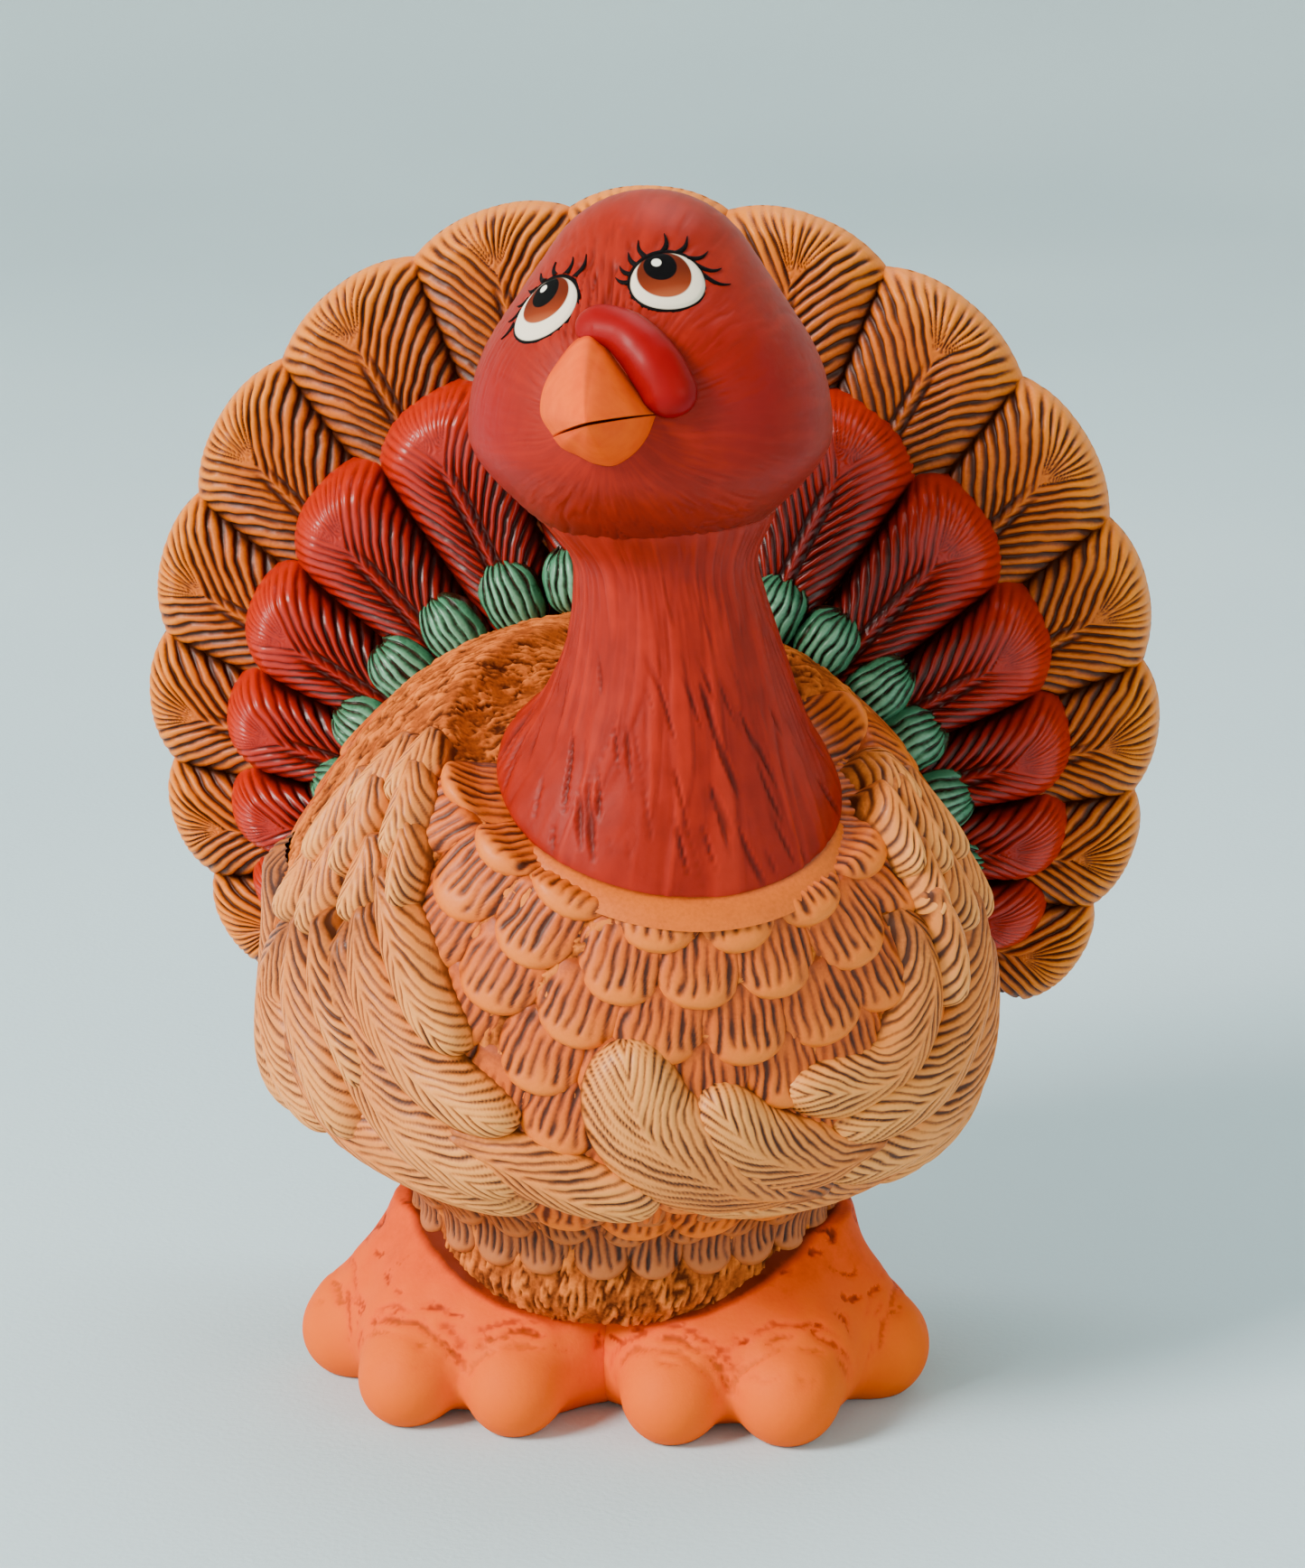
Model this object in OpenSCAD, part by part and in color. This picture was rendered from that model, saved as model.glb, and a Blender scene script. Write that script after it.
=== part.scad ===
// Ceramic turkey centrepiece: slip-cast shells with pressed feathers luted on.
// The bird faces -Y and stands on its two feet at Z = 0.

/* [Body casting] */
// Radius of the round body at its widest
body_r = 74; // [70:1:78]
// Height of the widest ring above the table
body_mid = 88; // [86:1:90]
// Height of the dome above the widest ring
dome_h = 86; // [84:1:88]
// Depth of the belly below the widest ring
belly_h = 78; // [76:1:80]
// Share of the radius that the waist over the feet takes away
waist_in = 0.23; // [0.15:0.01:0.25]
// Wall thickness of every casting
wall = 5; // [4:0.5:6]
// Height of the flat underside of the body
base_z = 24; // [23:1:25]
// Radius of the pour hole in the underside
pour_r = 15; // [8:1:18]

/* [Tail fan] */
// Distance from the body axis to the flat seat of the fan
seat_y = 46; // [45:1:47]
// Thickness of the fan's backing plate
plate_t = 8; // [6:1:9]
// Radius of the circle that the golden tips touch
fan_r = 118; // [114:1:120]
// Height of the centre of that circle
fan_mid = 146.5; // [145:0.5:148]
// Thickness of a golden feather
gold_t = 9.5; // [7:0.5:10]
// Thickness of a red feather
red_t = 9.5; // [7:0.5:10]

/* [Neck and head] */
// Radius of the neck's hem where it sits on the body
hem_r = 38; // [36:1:39]
// Forward tilt of the neck seat
hem_tilt = 27; // [25:1:29]
// Radius of the neck below the chin
neck_r = 20; // [18:1:22]
// Radius of the cheeks
cheek_r = 38.5; // [37:0.5:39]
// Radius of the crown
crown_r = 24.5; // [23.5:0.5:25]
// Depth of the head's underside as a share of the cheek radius
jaw_depth = 0.7; // [0.68:0.01:0.75]

/* [Feet] */
// Radius of a toe ball
toe_r = 11.2; // [10.5:0.1:12]

/* [Hidden] */

// Gap left between pieces that are luted together
gap = 0.15;
// Height of the waist's narrowest ring, and how far it spreads up and down
waist_z = 46;
waist_h = 14;
// Shift that puts the middle of the whole bird's depth over the origin
frame_y = 9.4;

// The feather axes spread from this point, given as X and Z
root = [0, 107];
// Angles of the golden feathers from upright, one side, middle feather first
gold_angles = [0, 13.5, 28.5, 44, 59, 73, 87, 102];
// Angles of the red feathers from upright, one side
red_angles = [8.5, 25, 41.5, 57, 71, 84, 96];
// Circle that the red tips touch: centre height and radius
red_mid = 132;
red_r = 99;
// Angle between neighbouring green coverts
green_step = 13.7;

// Centre of the neck's hem on the body, and the turn of its tilt towards the bird's left
hem_at = [14, -31, 147];
hem_turn = 23;
// Cheek and crown centres of the head
cheek_at = [10.5, -37, 227];
crown_at = [10, -32, 251.5];
// Height of the head's flat seat on the neck
head_cut = 206;
// Corners of the beak: right, left, crest, chin, tip, and a point inside the head
beak_right = [-9, -67, 236.6];
beak_left = [17, -69, 237.2];
beak_crest = [0.5, -62, 253];
beak_chin = [5, -70, 223.5];
beak_tip = [4.6, -95.5, 237];
beak_inside = [4, -50, 238];
// The snood's arc beside the beak: middle, half width and half height, first and last angle from upright
snood_mid = [4.5, -64, 241];
snood_w = 18;
snood_h = 15;
snood_turn = [-28, 104];
// Eye centres and the way that each looks out of the head
eye_left_at = [16.6, -56, 261.4];
eye_left_aim = [6.6, -22, 14];
eye_right_at = [-8.9, -55.2, 255.1];
eye_right_aim = [-18.9, -22, 11];
eye_r = 7.6;

// ---------- outline functions ----------

// Radius of the body at height z; grow moves the surface outwards
function body_at(z, grow = 0) =
  let (h = z > body_mid ? dome_h : belly_h)
  let (power = z > body_mid ? 2.4 : 2)
  let (t = abs(z - body_mid) / (h + grow))
  let (waist = 1 - waist_in * exp(-pow((z - waist_z) / waist_h, 2)))
  t >= 1 ? 0 : waist * (body_r + grow) * pow(1 - pow(t, power), 1 / power);

// Half profile of the body from its base to the top of the dome
function body_profile(z0, grow) =
  let (top = body_mid + dome_h + grow - 0.01)
  let (steps = 30)
  [[0, z0],
   for (i = [0 : steps])
     let (z = z0 + (top - z0) * sin(90 * i / steps))
     [max(0.01, body_at(z, grow)), z],
   [0, top]];

// A point on the body: turn from the front towards +X, height, and lift off the wall
function on_body(turn, z, lift) =
  let (r = body_at(z) + lift)
  [r * sin(turn), -r * cos(turn), z];

// Half profile of the head along its own axis, cheeks at zero
function head_profile(grow) =
  let (len = norm(crown_at - cheek_at))
  let (slope = asin((cheek_r - crown_r) / len))
  [for (a = [-90 : 9 : slope]) (cheek_r + grow) * [cos(a), (a < 0 ? jaw_depth : 1) * sin(a)],
   for (a = [slope : (90 - slope) / 6 : 90.01])
     [0, len] + (crown_r + grow) * [max(0, cos(a)), sin(a)]];

// Distance from the root to a circle of radius r at height mid, in direction a
function reach(a, mid, r) =
  let (d = mid - root[1])
  d * cos(a) + sqrt(r * r - pow(d * sin(a), 2));

// Both sides of a one-sided angle list, from the bird's right to its left
function both_sides(list) =
  let (n = len(list) - 1)
  let (skip = list[0] == 0 ? 1 : 0)
  [for (i = [n : -1 : skip]) -list[i], for (i = [0 : n]) list[i]];

// Half the angles from feather i to the feathers before and after it
function half_steps(list, i) =
  let (last = len(list) - 1)
  let (before = i == 0 ? list[1] - list[0] : list[i] - list[i - 1])
  let (after = i == last ? before : list[i + 1] - list[i])
  [before / 2, after / 2];

// Faces of a closed grid solid: rows of equal rings, capped at both ends
function grid_faces(rows, cols) = concat(
  [for (i = [0 : rows - 2], j = [0 : cols - 1])
    let (k = (j + 1) % cols)
    [i * cols + j, i * cols + k, (i + 1) * cols + k]],
  [for (i = [0 : rows - 2], j = [0 : cols - 1])
    let (k = (j + 1) % cols)
    [i * cols + j, (i + 1) * cols + k, (i + 1) * cols + j]],
  [for (j = [1 : cols - 2]) [0, j + 1, j]],
  [for (j = [1 : cols - 2])
    let (k = (rows - 1) * cols)
    [k, k + j, k + j + 1]]);

// ---------- shared shapes ----------

module place() {
  translate([0, frame_y, 0])
    children();
}

module body_solid(z0, grow) {
  rotate_extrude($fn = 72)
    polygon(body_profile(z0, grow));
}

module at_neck_seat() {
  translate(hem_at)
    rotate([0, 0, hem_turn])
      rotate([hem_tilt, 0, 0])
        children();
}

module head_solid(grow) {
  lean = crown_at - cheek_at;
  translate(cheek_at)
    rotate([0, 0, atan2(lean[1], lean[0])])
      rotate([0, atan2(norm([lean[0], lean[1]]), lean[2]), 0])
        rotate_extrude($fn = 72)
          polygon(head_profile(grow));
}

// A fan feather: flat back at y_back, domed front, lobed tip; half holds its reach before and after its angle
module fan_feather(angle, half, r0, r1, y_back, thick) {
  side = [-1, -0.8, -0.45, 0, 0.45, 0.8, 1];
  rows = 8;
  lobe = 5.5;
  trim = gap / r0 * 60;
  function tip(t) = r1 - lobe * pow(abs(t), 2.3);
  function rim(s) = 1 - 0.45 * pow(s, 7);
  function dome(t) = 1 - 0.4 * pow(abs(t), 2.6);
  function spot(s, t, y) =
    let (r = r0 + s * (tip(t) - r0))
    let (a = angle + t * ((t < 0 ? half[0] : half[1]) - trim))
    [root[0] + r * sin(a), y, root[1] + r * cos(a)];
  function front(s, t) = y_back - thick * rim(s) * dome(t);
  points = [for (i = [0 : rows - 1])
    let (s = 1 - pow(1 - i / (rows - 1), 1.4))
    each concat(
      [for (t = side) spot(s, t, front(s, t))],
      [spot(s, 1, y_back), spot(s, -1, y_back)])];
  polyhedron(points, grid_faces(rows, len(side) + 2));
}

// A small shield-shaped feather lying on the body
module scale_feather(turn, z, width, height, thick) {
  rim = [[-0.46, 0.5], [0, 0.54], [0.46, 0.5], [0.48, 0], [0.3, -0.34], [0, -0.5], [-0.3, -0.34], [-0.48, 0]];
  n = len(rim);
  deg = width / body_at(z) * 180 / PI;
  low = [for (p = rim) on_body(turn + p[0] * deg, z + p[1] * height, 0.35)];
  high = [for (p = rim) on_body(turn + p[0] * deg * 0.9, z + p[1] * height * 0.9, thick * 0.7)];
  points = concat(low, high, [on_body(turn, z, 0.35), on_body(turn, z - height * 0.1, thick)]);
  sides = [for (j = [0 : n - 1], k = [0, 1])
    let (m = (j + 1) % n)
    k == 0 ? [j, m, n + m] : [j, n + m, n + j]];
  caps = [for (j = [0 : n - 1], k = [0, 1])
    let (m = (j + 1) % n)
    k == 0 ? [m, j, 2 * n] : [n + j, n + m, 2 * n + 1]];
  polyhedron(points, [for (f = concat(sides, caps)) [f[2], f[1], f[0]]]);
}

// ---------- castings ----------

module body_shell() {
  color("peru")
    place()
      difference() {
        body_solid(base_z, 0);
        body_solid(base_z + wall, -wall);
        translate([-100, seat_y, 0])
          cube([200, 100, 200]);
        at_neck_seat()
          cylinder(r = hem_r + 0.5, h = 40, $fn = 72);
        cylinder(r = pour_r, h = 60, $fn = 48);
      }
}

module rump_cover() {
  flat_y = seat_y + plate_t + 2 * gap;
  color("peru")
    place()
      difference() {
        body_solid(base_z, 0);
        body_solid(base_z + wall, -wall);
        translate([-100, flat_y - 200, 0])
          cube([200, 200, 200]);
      }
}

// Neck: a hollow bell, tilted at its hem and upright at the chin
module neck() {
  sides = 28;
  steps = 9;
  chin = [14, -34, head_cut - gap];
  function across(s) = neck_r + (hem_r - neck_r) * pow(1 - s, 2.1) * (1 - 0.06 * pow(1 - s, 12));
  function ring(s, inset) =
    let (r = across(s) - inset)
    let (lift = s == 0 ? gap : 0)
    let (tilt = hem_tilt * pow(1 - s, 1.6))
    let (mid = hem_at + (chin - hem_at) * s)
    [for (j = [0 : sides - 1])
      let (a = 360 * j / sides)
      let (x = r * cos(a))
      let (y = r * sin(a) * cos(tilt) - lift * sin(tilt))
      let (z = r * sin(a) * sin(tilt) + lift * cos(tilt))
      mid + [x * cos(hem_turn) - y * sin(hem_turn), x * sin(hem_turn) + y * cos(hem_turn), z]];
  outer = [for (i = [0 : steps]) each ring(i / steps, 0)];
  inner = [for (i = [steps : -1 : 0]) each ring(i / steps, wall)];
  rows = 2 * (steps + 1);
  faces = [for (i = [0 : rows - 1], j = [0 : sides - 1], k = [0, 1])
    let (n = (i + 1) % rows)
    let (m = (j + 1) % sides)
    k == 0
      ? [n * sides + m, i * sides + m, i * sides + j]
      : [n * sides + j, n * sides + m, i * sides + j]];
  color("firebrick")
    place()
      polyhedron(concat(outer, inner), faces);
}

module head() {
  color("firebrick")
    place()
      difference() {
        head_solid(0);
        head_solid(-wall);
        translate([cheek_at[0] - 50, cheek_at[1] - 50, head_cut - 50])
          cube([100, 100, 50]);
      }
}

// A beak half: a ridged wedge from the face to its tip
module beak_half(corner_l, corner_r, crest, tip, inside) {
  difference() {
    polyhedron(
      [corner_l, corner_r, crest, tip, inside],
      [[0, 2, 3], [2, 1, 3], [1, 0, 3], [0, 4, 2], [2, 4, 1], [1, 4, 0]]);
    head_solid(gap);
  }
}

module beak_upper() {
  color("orange")
    place()
      beak_half(beak_right, beak_left, beak_crest, beak_tip, beak_inside);
}

module beak_lower() {
  drop = [0, 0, 0.5];
  color("darkorange")
    place()
      beak_half(beak_left - drop, beak_right - drop, beak_chin, beak_tip - 3 * drop, beak_inside - 16 * drop);
}

// Snood: a fat crescent that hugs the beak's left side
module snood() {
  steps = 7;
  first = snood_turn[0];
  sink = 0.065;
  color("crimson")
    place()
      difference() {
        union() {
          for (i = [0 : steps]) {
            a = first + (snood_turn[1] - first) * i / steps;
            translate(snood_mid + [snood_w * sin(a), -sink * (a - first), snood_h * cos(a)])
              sphere(r = 3.4 + 2.4 * sin(180 * i / steps), $fn = 16);
          }
        }
        head_solid(gap);
        hull() {
          beak_half(beak_right, beak_left, beak_crest, beak_tip, beak_inside);
        }
      }
}

// An eye: a thin lens on the front of the head
module eye(at, aim) {
  color("ivory")
    place()
      difference() {
        intersection() {
          head_solid(1.4);
          translate(at)
            rotate([0, acos(aim[2] / norm(aim)), atan2(aim[1], aim[0])])
              cylinder(r = eye_r, h = 16, center = true, $fn = 40);
        }
        head_solid(gap);
      }
}

module eye_left() {
  eye(eye_left_at, eye_left_aim);
}

module eye_right() {
  eye(eye_right_at, eye_right_aim);
}

module foot(side) {
  cut_z = 38;
  sole_dip = 2;
  instep_r = 16;
  heel_r = 15;
  toes = [[60, -13.5, toe_r], [42.5, -43, toe_r + 0.2], [17.3, -45.4, toe_r - 0.4]];
  color("darkorange")
    place()
      difference() {
        union() {
          for (p = toes)
            hull() {
              translate([side * p[0], p[1], p[2] - sole_dip])
                sphere(r = p[2], $fn = 18);
              translate([side * (22 + p[0] * 0.3), -19 + p[1] * 0.22, instep_r - sole_dip])
                sphere(r = instep_r, $fn = 18);
            }
          hull() {
            translate([side * 34, -12, 30])
              sphere(r = 19, $fn = 18);
            translate([side * 52, -8, 26])
              sphere(r = 12, $fn = 18);
            translate([side * 32, 16, heel_r - sole_dip])
              sphere(r = heel_r, $fn = 18);
            translate([side * 34, -26, heel_r - sole_dip])
              sphere(r = heel_r, $fn = 18);
            translate([side * 14, -27, heel_r - sole_dip])
              sphere(r = heel_r - 1, $fn = 18);
          }
        }
        translate([-100 - side * (100 - gap), -100, -1])
          cube([200, 200, 80]);
        translate([-100, -100, cut_z])
          cube([200, 200, 40]);
        translate([-100, -100, -40])
          cube([200, 200, 40]);
        translate([0, 0, base_z - gap])
          cylinder(r1 = body_at(base_z) + 2, r2 = body_at(cut_z + 1) + 2, h = cut_z + 1 - base_z, $fn = 72);
        translate([0, 0, -1])
          cylinder(r = pour_r + 4, h = 40, $fn = 48);
      }
}

module foot_left() {
  foot(1);
}

module foot_right() {
  foot(-1);
}

// ---------- tail fan ----------

module fan_plate() {
  color("saddlebrown")
    place()
      translate([0, seat_y + gap + plate_t, 0])
        rotate([90, 0, 0])
          linear_extrude(plate_t)
            difference() {
              union() {
                intersection() {
                  translate([0, fan_mid])
                    circle(r = fan_r - 7, $fn = 120);
                  translate([-150, 66])
                    square([300, 250]);
                }
                translate([0, body_mid])
                  circle(r = 60, $fn = 96);
              }
              translate([0, body_mid])
                circle(r = 28, $fn = 64);
            }
}

module gold_feather(i) {
  list = both_sides(gold_angles);
  a = list[i];
  inner = 69 + 4 * pow(a / 102, 2);
  color("goldenrod")
    place()
      fan_feather(a, half_steps(list, i), inner, reach(a, fan_mid, fan_r), seat_y, gold_t);
}

module red_feather(i) {
  list = both_sides(red_angles);
  a = list[i];
  y_back = seat_y - gold_t - gap;
  color("orangered")
    place()
      fan_feather(a, half_steps(list, i), 75, reach(a, red_mid, red_r), y_back, red_t);
}

module green_coverts() {
  y_back = seat_y - gold_t - red_t - 2 * gap;
  color("seagreen")
    place()
      for (i = [-6 : 6])
        fan_feather(i * green_step, [green_step / 2, green_step / 2], 76, 84, y_back, 7);
}

module fan_back_feathers() {
  list = both_sides(gold_angles);
  color("sienna")
    place()
      mirror([0, 1, 0])
        for (i = [0 : len(list) - 1])
          fan_feather(list[i], half_steps(list, i), 76, reach(list[i], fan_mid, fan_r - 1),
            -(seat_y + plate_t + 2 * gap), 3);
}

// ---------- feathers on the body ----------

module breast_feathers() {
  top_z = 119;
  drop = 11.5;
  color("sandybrown")
    place()
      for (row = [0 : 3]) {
        z = top_z - drop * row;
        first = -19 + 4 * row;
        last = 56 - 7 * row;
        count = 5 - (row % 2);
        pitch = (last - first) / count;
        width = pitch * body_at(z) * PI / 180;
        for (i = [0 : count - 1])
          scale_feather(first + pitch * (i + 0.5), z, width, 10.5, 3);
      }
}

module mantle_feathers() {
  low_z = 152;
  rise = 7.5;
  color("burlywood")
    place()
      for (row = [0 : 2]) {
        z = low_z + rise * row;
        pitch = 12 + 3 * row;
        for (i = [-11 : 11]) {
          turn = pitch * (i + 0.5 * (row % 2));
          spot = on_body(turn, z, 0);
          if (abs(turn) < 175 && norm(spot - hem_at) > hem_r + 9 && spot[1] < seat_y - 34)
            scale_feather(turn, z, pitch * body_at(z) * PI / 180, 7, 3);
        }
      }
}

module skirt_feathers() {
  pitch = 19;
  top_z = 54.5;
  drop = 10;
  color("chocolate")
    place()
      for (row = [0 : 1], i = [-6 : 6])
        scale_feather(pitch * (i + 0.5 * row), top_z - drop * row, 15, 9.5, 3);
}

module rump_feathers() {
  pitch = 19;
  top_z = 118;
  drop = 10.5;
  color("burlywood")
    place()
      for (row = [0 : 6], i = [-1 : 1])
        if (abs(row - 3) + abs(i) < 4)
          scale_feather(180 + pitch * (i + 0.5 * (row % 2)), top_z - drop * row, 17, 9.5, 3);
}

// A spot on the wing: s runs from shoulder to tip, t from front edge to back edge
function blend3(p, s) =
  pow(1 - s, 3) * p[0] + 3 * s * pow(1 - s, 2) * p[1] + 3 * s * s * (1 - s) * p[2] + pow(s, 3) * p[3];

// Front and back edges of each wing as turn and height on the body
left_front = [[66, 146], [66, 118], [52, 92], [5, 92]];
left_back = [[88, 142], [104, 104], [104, 64], [86, 46]];
right_front = [[-42, 150], [-20, 130], [-30, 98], [1, 66]];
right_back = [[-62, 146], [-88, 112], [-108, 66], [-84, 48]];

module wing_strip(front, back, s0, s1, t0, t1, thick) {
  steps = 8;
  function spot(s, t, lift) =
    let (p = (1 - t) * blend3(front, s) + t * blend3(back, s))
    on_body(p[0], p[1], lift);
  function girth(s) = 0.35 + 0.65 * sqrt(1 - pow(2 * s - 1, 4));
  mid = (t0 + t1) / 2;
  points = [for (i = [0 : steps])
    let (s = s0 + (s1 - s0) * i / steps)
    let (g = girth(i / steps) * (t1 - t0) * 0.47)
    let (h = max(1.2, thick * girth(i / steps)))
    each [spot(s, mid - g, 0.5), spot(s, mid, 0.5), spot(s, mid + g, 0.5),
      spot(s, mid + g, h * 0.6), spot(s, mid, h), spot(s, mid - g, h * 0.6)]];
  solid_faces = grid_faces(steps + 1, 6);
  polyhedron(points, [for (f = solid_faces)
    front[0][0] > 0 ? [for (k = [len(f) - 1 : -1 : 0]) f[k]] : f]);
}

module wing_primaries(front, back) {
  count = 6;
  color("navajowhite")
    place()
      for (i = [0 : count - 1])
        wing_strip(front, back, 0.36, 1, i / count, (i + 1) / count, 8);
}

module wing_coverts(front, back) {
  count = 4;
  color("wheat")
    place()
      for (row = [0 : 2], i = [0 : count - 1])
        wing_strip(front, back, 0.02 + row * 0.11, 0.12 + row * 0.11, i / count, (i + 1) / count, 6);
}

module wing_primaries_left() {
  wing_primaries(left_front, left_back);
}

module wing_primaries_right() {
  wing_primaries(right_front, right_back);
}

module wing_coverts_left() {
  wing_coverts(left_front, left_back);
}

module wing_coverts_right() {
  wing_coverts(right_front, right_back);
}

body_shell();
neck();
head();
beak_upper();
beak_lower();
snood();
eye_left();
eye_right();
fan_plate();
rump_cover();
green_coverts();
breast_feathers();
mantle_feathers();
skirt_feathers();
rump_feathers();
fan_back_feathers();
wing_coverts_left();
wing_coverts_right();
wing_primaries_left();
wing_primaries_right();
foot_left();
foot_right();
gold_feather(0);  // gold_feather_01
gold_feather(1);  // gold_feather_02
gold_feather(2);  // gold_feather_03
gold_feather(3);  // gold_feather_04
gold_feather(4);  // gold_feather_05
gold_feather(5);  // gold_feather_06
gold_feather(6);  // gold_feather_07
gold_feather(7);  // gold_feather_08
gold_feather(8);  // gold_feather_09
gold_feather(9);  // gold_feather_10
gold_feather(10);  // gold_feather_11
gold_feather(11);  // gold_feather_12
gold_feather(12);  // gold_feather_13
gold_feather(13);  // gold_feather_14
gold_feather(14);  // gold_feather_15
red_feather(0);  // red_feather_01
red_feather(1);  // red_feather_02
red_feather(2);  // red_feather_03
red_feather(3);  // red_feather_04
red_feather(4);  // red_feather_05
red_feather(5);  // red_feather_06
red_feather(6);  // red_feather_07
red_feather(7);  // red_feather_08
red_feather(8);  // red_feather_09
red_feather(9);  // red_feather_10
red_feather(10);  // red_feather_11
red_feather(11);  // red_feather_12
red_feather(12);  // red_feather_13
red_feather(13);  // red_feather_14
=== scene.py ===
"""Painted ceramic turkey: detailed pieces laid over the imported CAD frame.

Lengths are in millimetres with the body's axis at x = y = 0 until a mesh is made;
make_mesh() then shifts them to the row frame and scales them to metres.
"""
import math

import bpy
import numpy as np
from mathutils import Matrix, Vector


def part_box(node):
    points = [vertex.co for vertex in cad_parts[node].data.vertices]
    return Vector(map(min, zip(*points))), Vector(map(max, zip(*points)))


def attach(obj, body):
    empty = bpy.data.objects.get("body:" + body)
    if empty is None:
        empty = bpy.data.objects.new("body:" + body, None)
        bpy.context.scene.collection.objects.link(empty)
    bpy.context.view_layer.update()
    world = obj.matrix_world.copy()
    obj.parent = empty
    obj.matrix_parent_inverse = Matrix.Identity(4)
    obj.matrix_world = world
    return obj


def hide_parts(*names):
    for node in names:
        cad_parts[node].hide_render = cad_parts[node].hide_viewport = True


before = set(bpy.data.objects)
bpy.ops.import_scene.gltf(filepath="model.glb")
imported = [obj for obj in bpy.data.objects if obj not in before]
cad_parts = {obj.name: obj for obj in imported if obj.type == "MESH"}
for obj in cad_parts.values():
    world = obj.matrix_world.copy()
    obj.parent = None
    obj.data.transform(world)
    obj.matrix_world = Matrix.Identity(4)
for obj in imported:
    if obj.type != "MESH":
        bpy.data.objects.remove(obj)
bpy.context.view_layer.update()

MM = 0.001
FINE = 1.0

# ---------- driving sizes, most from the frame

body_low, body_high = (np.array(c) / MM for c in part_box("body_shell"))
plate_low, plate_high = (np.array(c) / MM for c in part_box("fan_plate"))
crown_high = np.array(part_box("gold_feather_08")[1]) / MM

BODY_R = (body_high[0] - body_low[0]) / 2
SHIFT_Y = body_low[1] + BODY_R        # where the body's axis stands in the row frame
BASE_Z = body_low[2]
BODY_MID = 88.0                       # height of the body's widest ring
DOME_H = 86.0                         # height of the dome above that ring
DOME_POWER = 2.4                      # 2 is an ellipse, more is squarer
BELLY_H = 78.0                        # depth of the ellipse below that ring
WAIST_DEPTH = 0.23                    # share of the radius that the waist over the feet takes away
WAIST_Z = 46.0
WAIST_H = 14.0
STROKE_R = 74.0                       # radius at which the widths of strands and scales are counted

FAN_Y = plate_low[1] - SHIFT_Y        # the fan's middle plane, where front and back feathers meet
FAN_R = 118.0                         # circle of the golden tips
FAN_MID = crown_high[2] - FAN_R
ROOT = np.array([0.0, 107.0])         # x and z of the point that the fan spreads from
RED_R = 99.0                          # circle of the red tips
RED_MID = 132.0                       # height of that circle's middle
GOLD_ANGLES = [0, 13.5, 28.5, 44, 59, 73, 87, 102]    # degrees from upright, the same on both sides
RED_ANGLES = [8.5, 25, 41.5, 57, 71, 84, 96]
GREEN_STEP = 12.33                    # degrees from one green pod to the next

HEM = np.array([14.0, -31.0, 147.0])  # middle of the neck's hem
HEM_R = 38.0
HEM_TILT = math.radians(27)           # how far the hem leans forward, and to which side
HEM_TURN = math.radians(23)
HEM_AXIS = np.array([math.sin(HEM_TURN) * math.sin(HEM_TILT), -math.cos(HEM_TURN) * math.sin(HEM_TILT),
                     math.cos(HEM_TILT)])
NECK_R = 20.0
CHIN = np.array([11.0, -36.6, 211.0])  # middle of the neck's top
NECK_BOW = np.array([2.8, 0.0, 0.0])   # how far the neck bows to the bird's left between hem and chin
CHEEK = np.array([10.5, -37.0, 227.0])
CROWN = np.array([10.0, -32.0, 251.5])
CHEEK_R = 38.5                        # radii of the two balls that the head is stretched over
CROWN_R = 24.5
JAW_DEPTH = 0.7                       # how deep the head is below the cheeks, against its radius
BEAK_TIP = np.array([4.6, -95.5, 239.4])

# ---------- small maths helpers


def noise(points, seed=0):
    """Smooth gradient noise, about -1 to 1, at points of shape (..., 3)."""
    shape = points.shape[:-1]
    p = points.reshape(-1, 3)
    rng = np.random.default_rng(seed)
    table = rng.permutation(256)
    slopes = rng.normal(size=(256, 3))
    slopes /= np.linalg.norm(slopes, axis=1, keepdims=True)
    cell = np.floor(p).astype(int)
    f = p - cell
    w = f * f * f * (f * (f * 6 - 15) + 10)
    total = np.zeros(len(p))
    for cx in (0, 1):
        for cy in (0, 1):
            for cz in (0, 1):
                k = table[(cell[:, 0] + cx) & 255]
                k = table[(k + cell[:, 1] + cy) & 255]
                k = table[(k + cell[:, 2] + cz) & 255]
                d = f - (cx, cy, cz)
                weight = np.abs(1 - cx - w[:, 0]) * np.abs(1 - cy - w[:, 1]) * np.abs(1 - cz - w[:, 2])
                total += weight * (slopes[k] * d).sum(axis=1)
    return (total * 1.7).reshape(shape)


def noise2(u, v, seed=0):
    """Noise over two coordinates."""
    u, v = np.broadcast_arrays(u, v)
    return noise(np.stack([u, v, np.full(u.shape, 0.37 + seed)], -1), seed % 97)


def smooth(x, low, high):
    """0 below low, 1 above high, smooth between."""
    t = np.clip((x - low) / (high - low), 0, 1)
    return t * t * (3 - 2 * t)


def grid(rows, cols):
    """Two arrays of 0 to 1 down the rows and across the columns."""
    return np.meshgrid(np.linspace(0, 1, rows), np.linspace(0, 1, cols), indexing="ij")


def ring_grid(rows, cols):
    """0 to 1 down the rows and 0 to a full turn round the columns, for a sheet that closes on itself."""
    s, t = grid(rows, cols + 1)
    return s[:, :-1], 2 * math.pi * t[:, :-1]


def count(n):
    return max(6, int(n * FINE))


def cut(phase, width=0.17):
    """Depth 0 to 1 of one narrow groove per unit of phase."""
    return np.exp(-((phase % 1.0 - 0.5) / width) ** 2)


def unit(v):
    """Vectors scaled to length 1 along the last axis."""
    return v / np.maximum(np.linalg.norm(v, axis=-1, keepdims=True), 1e-9)


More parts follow.
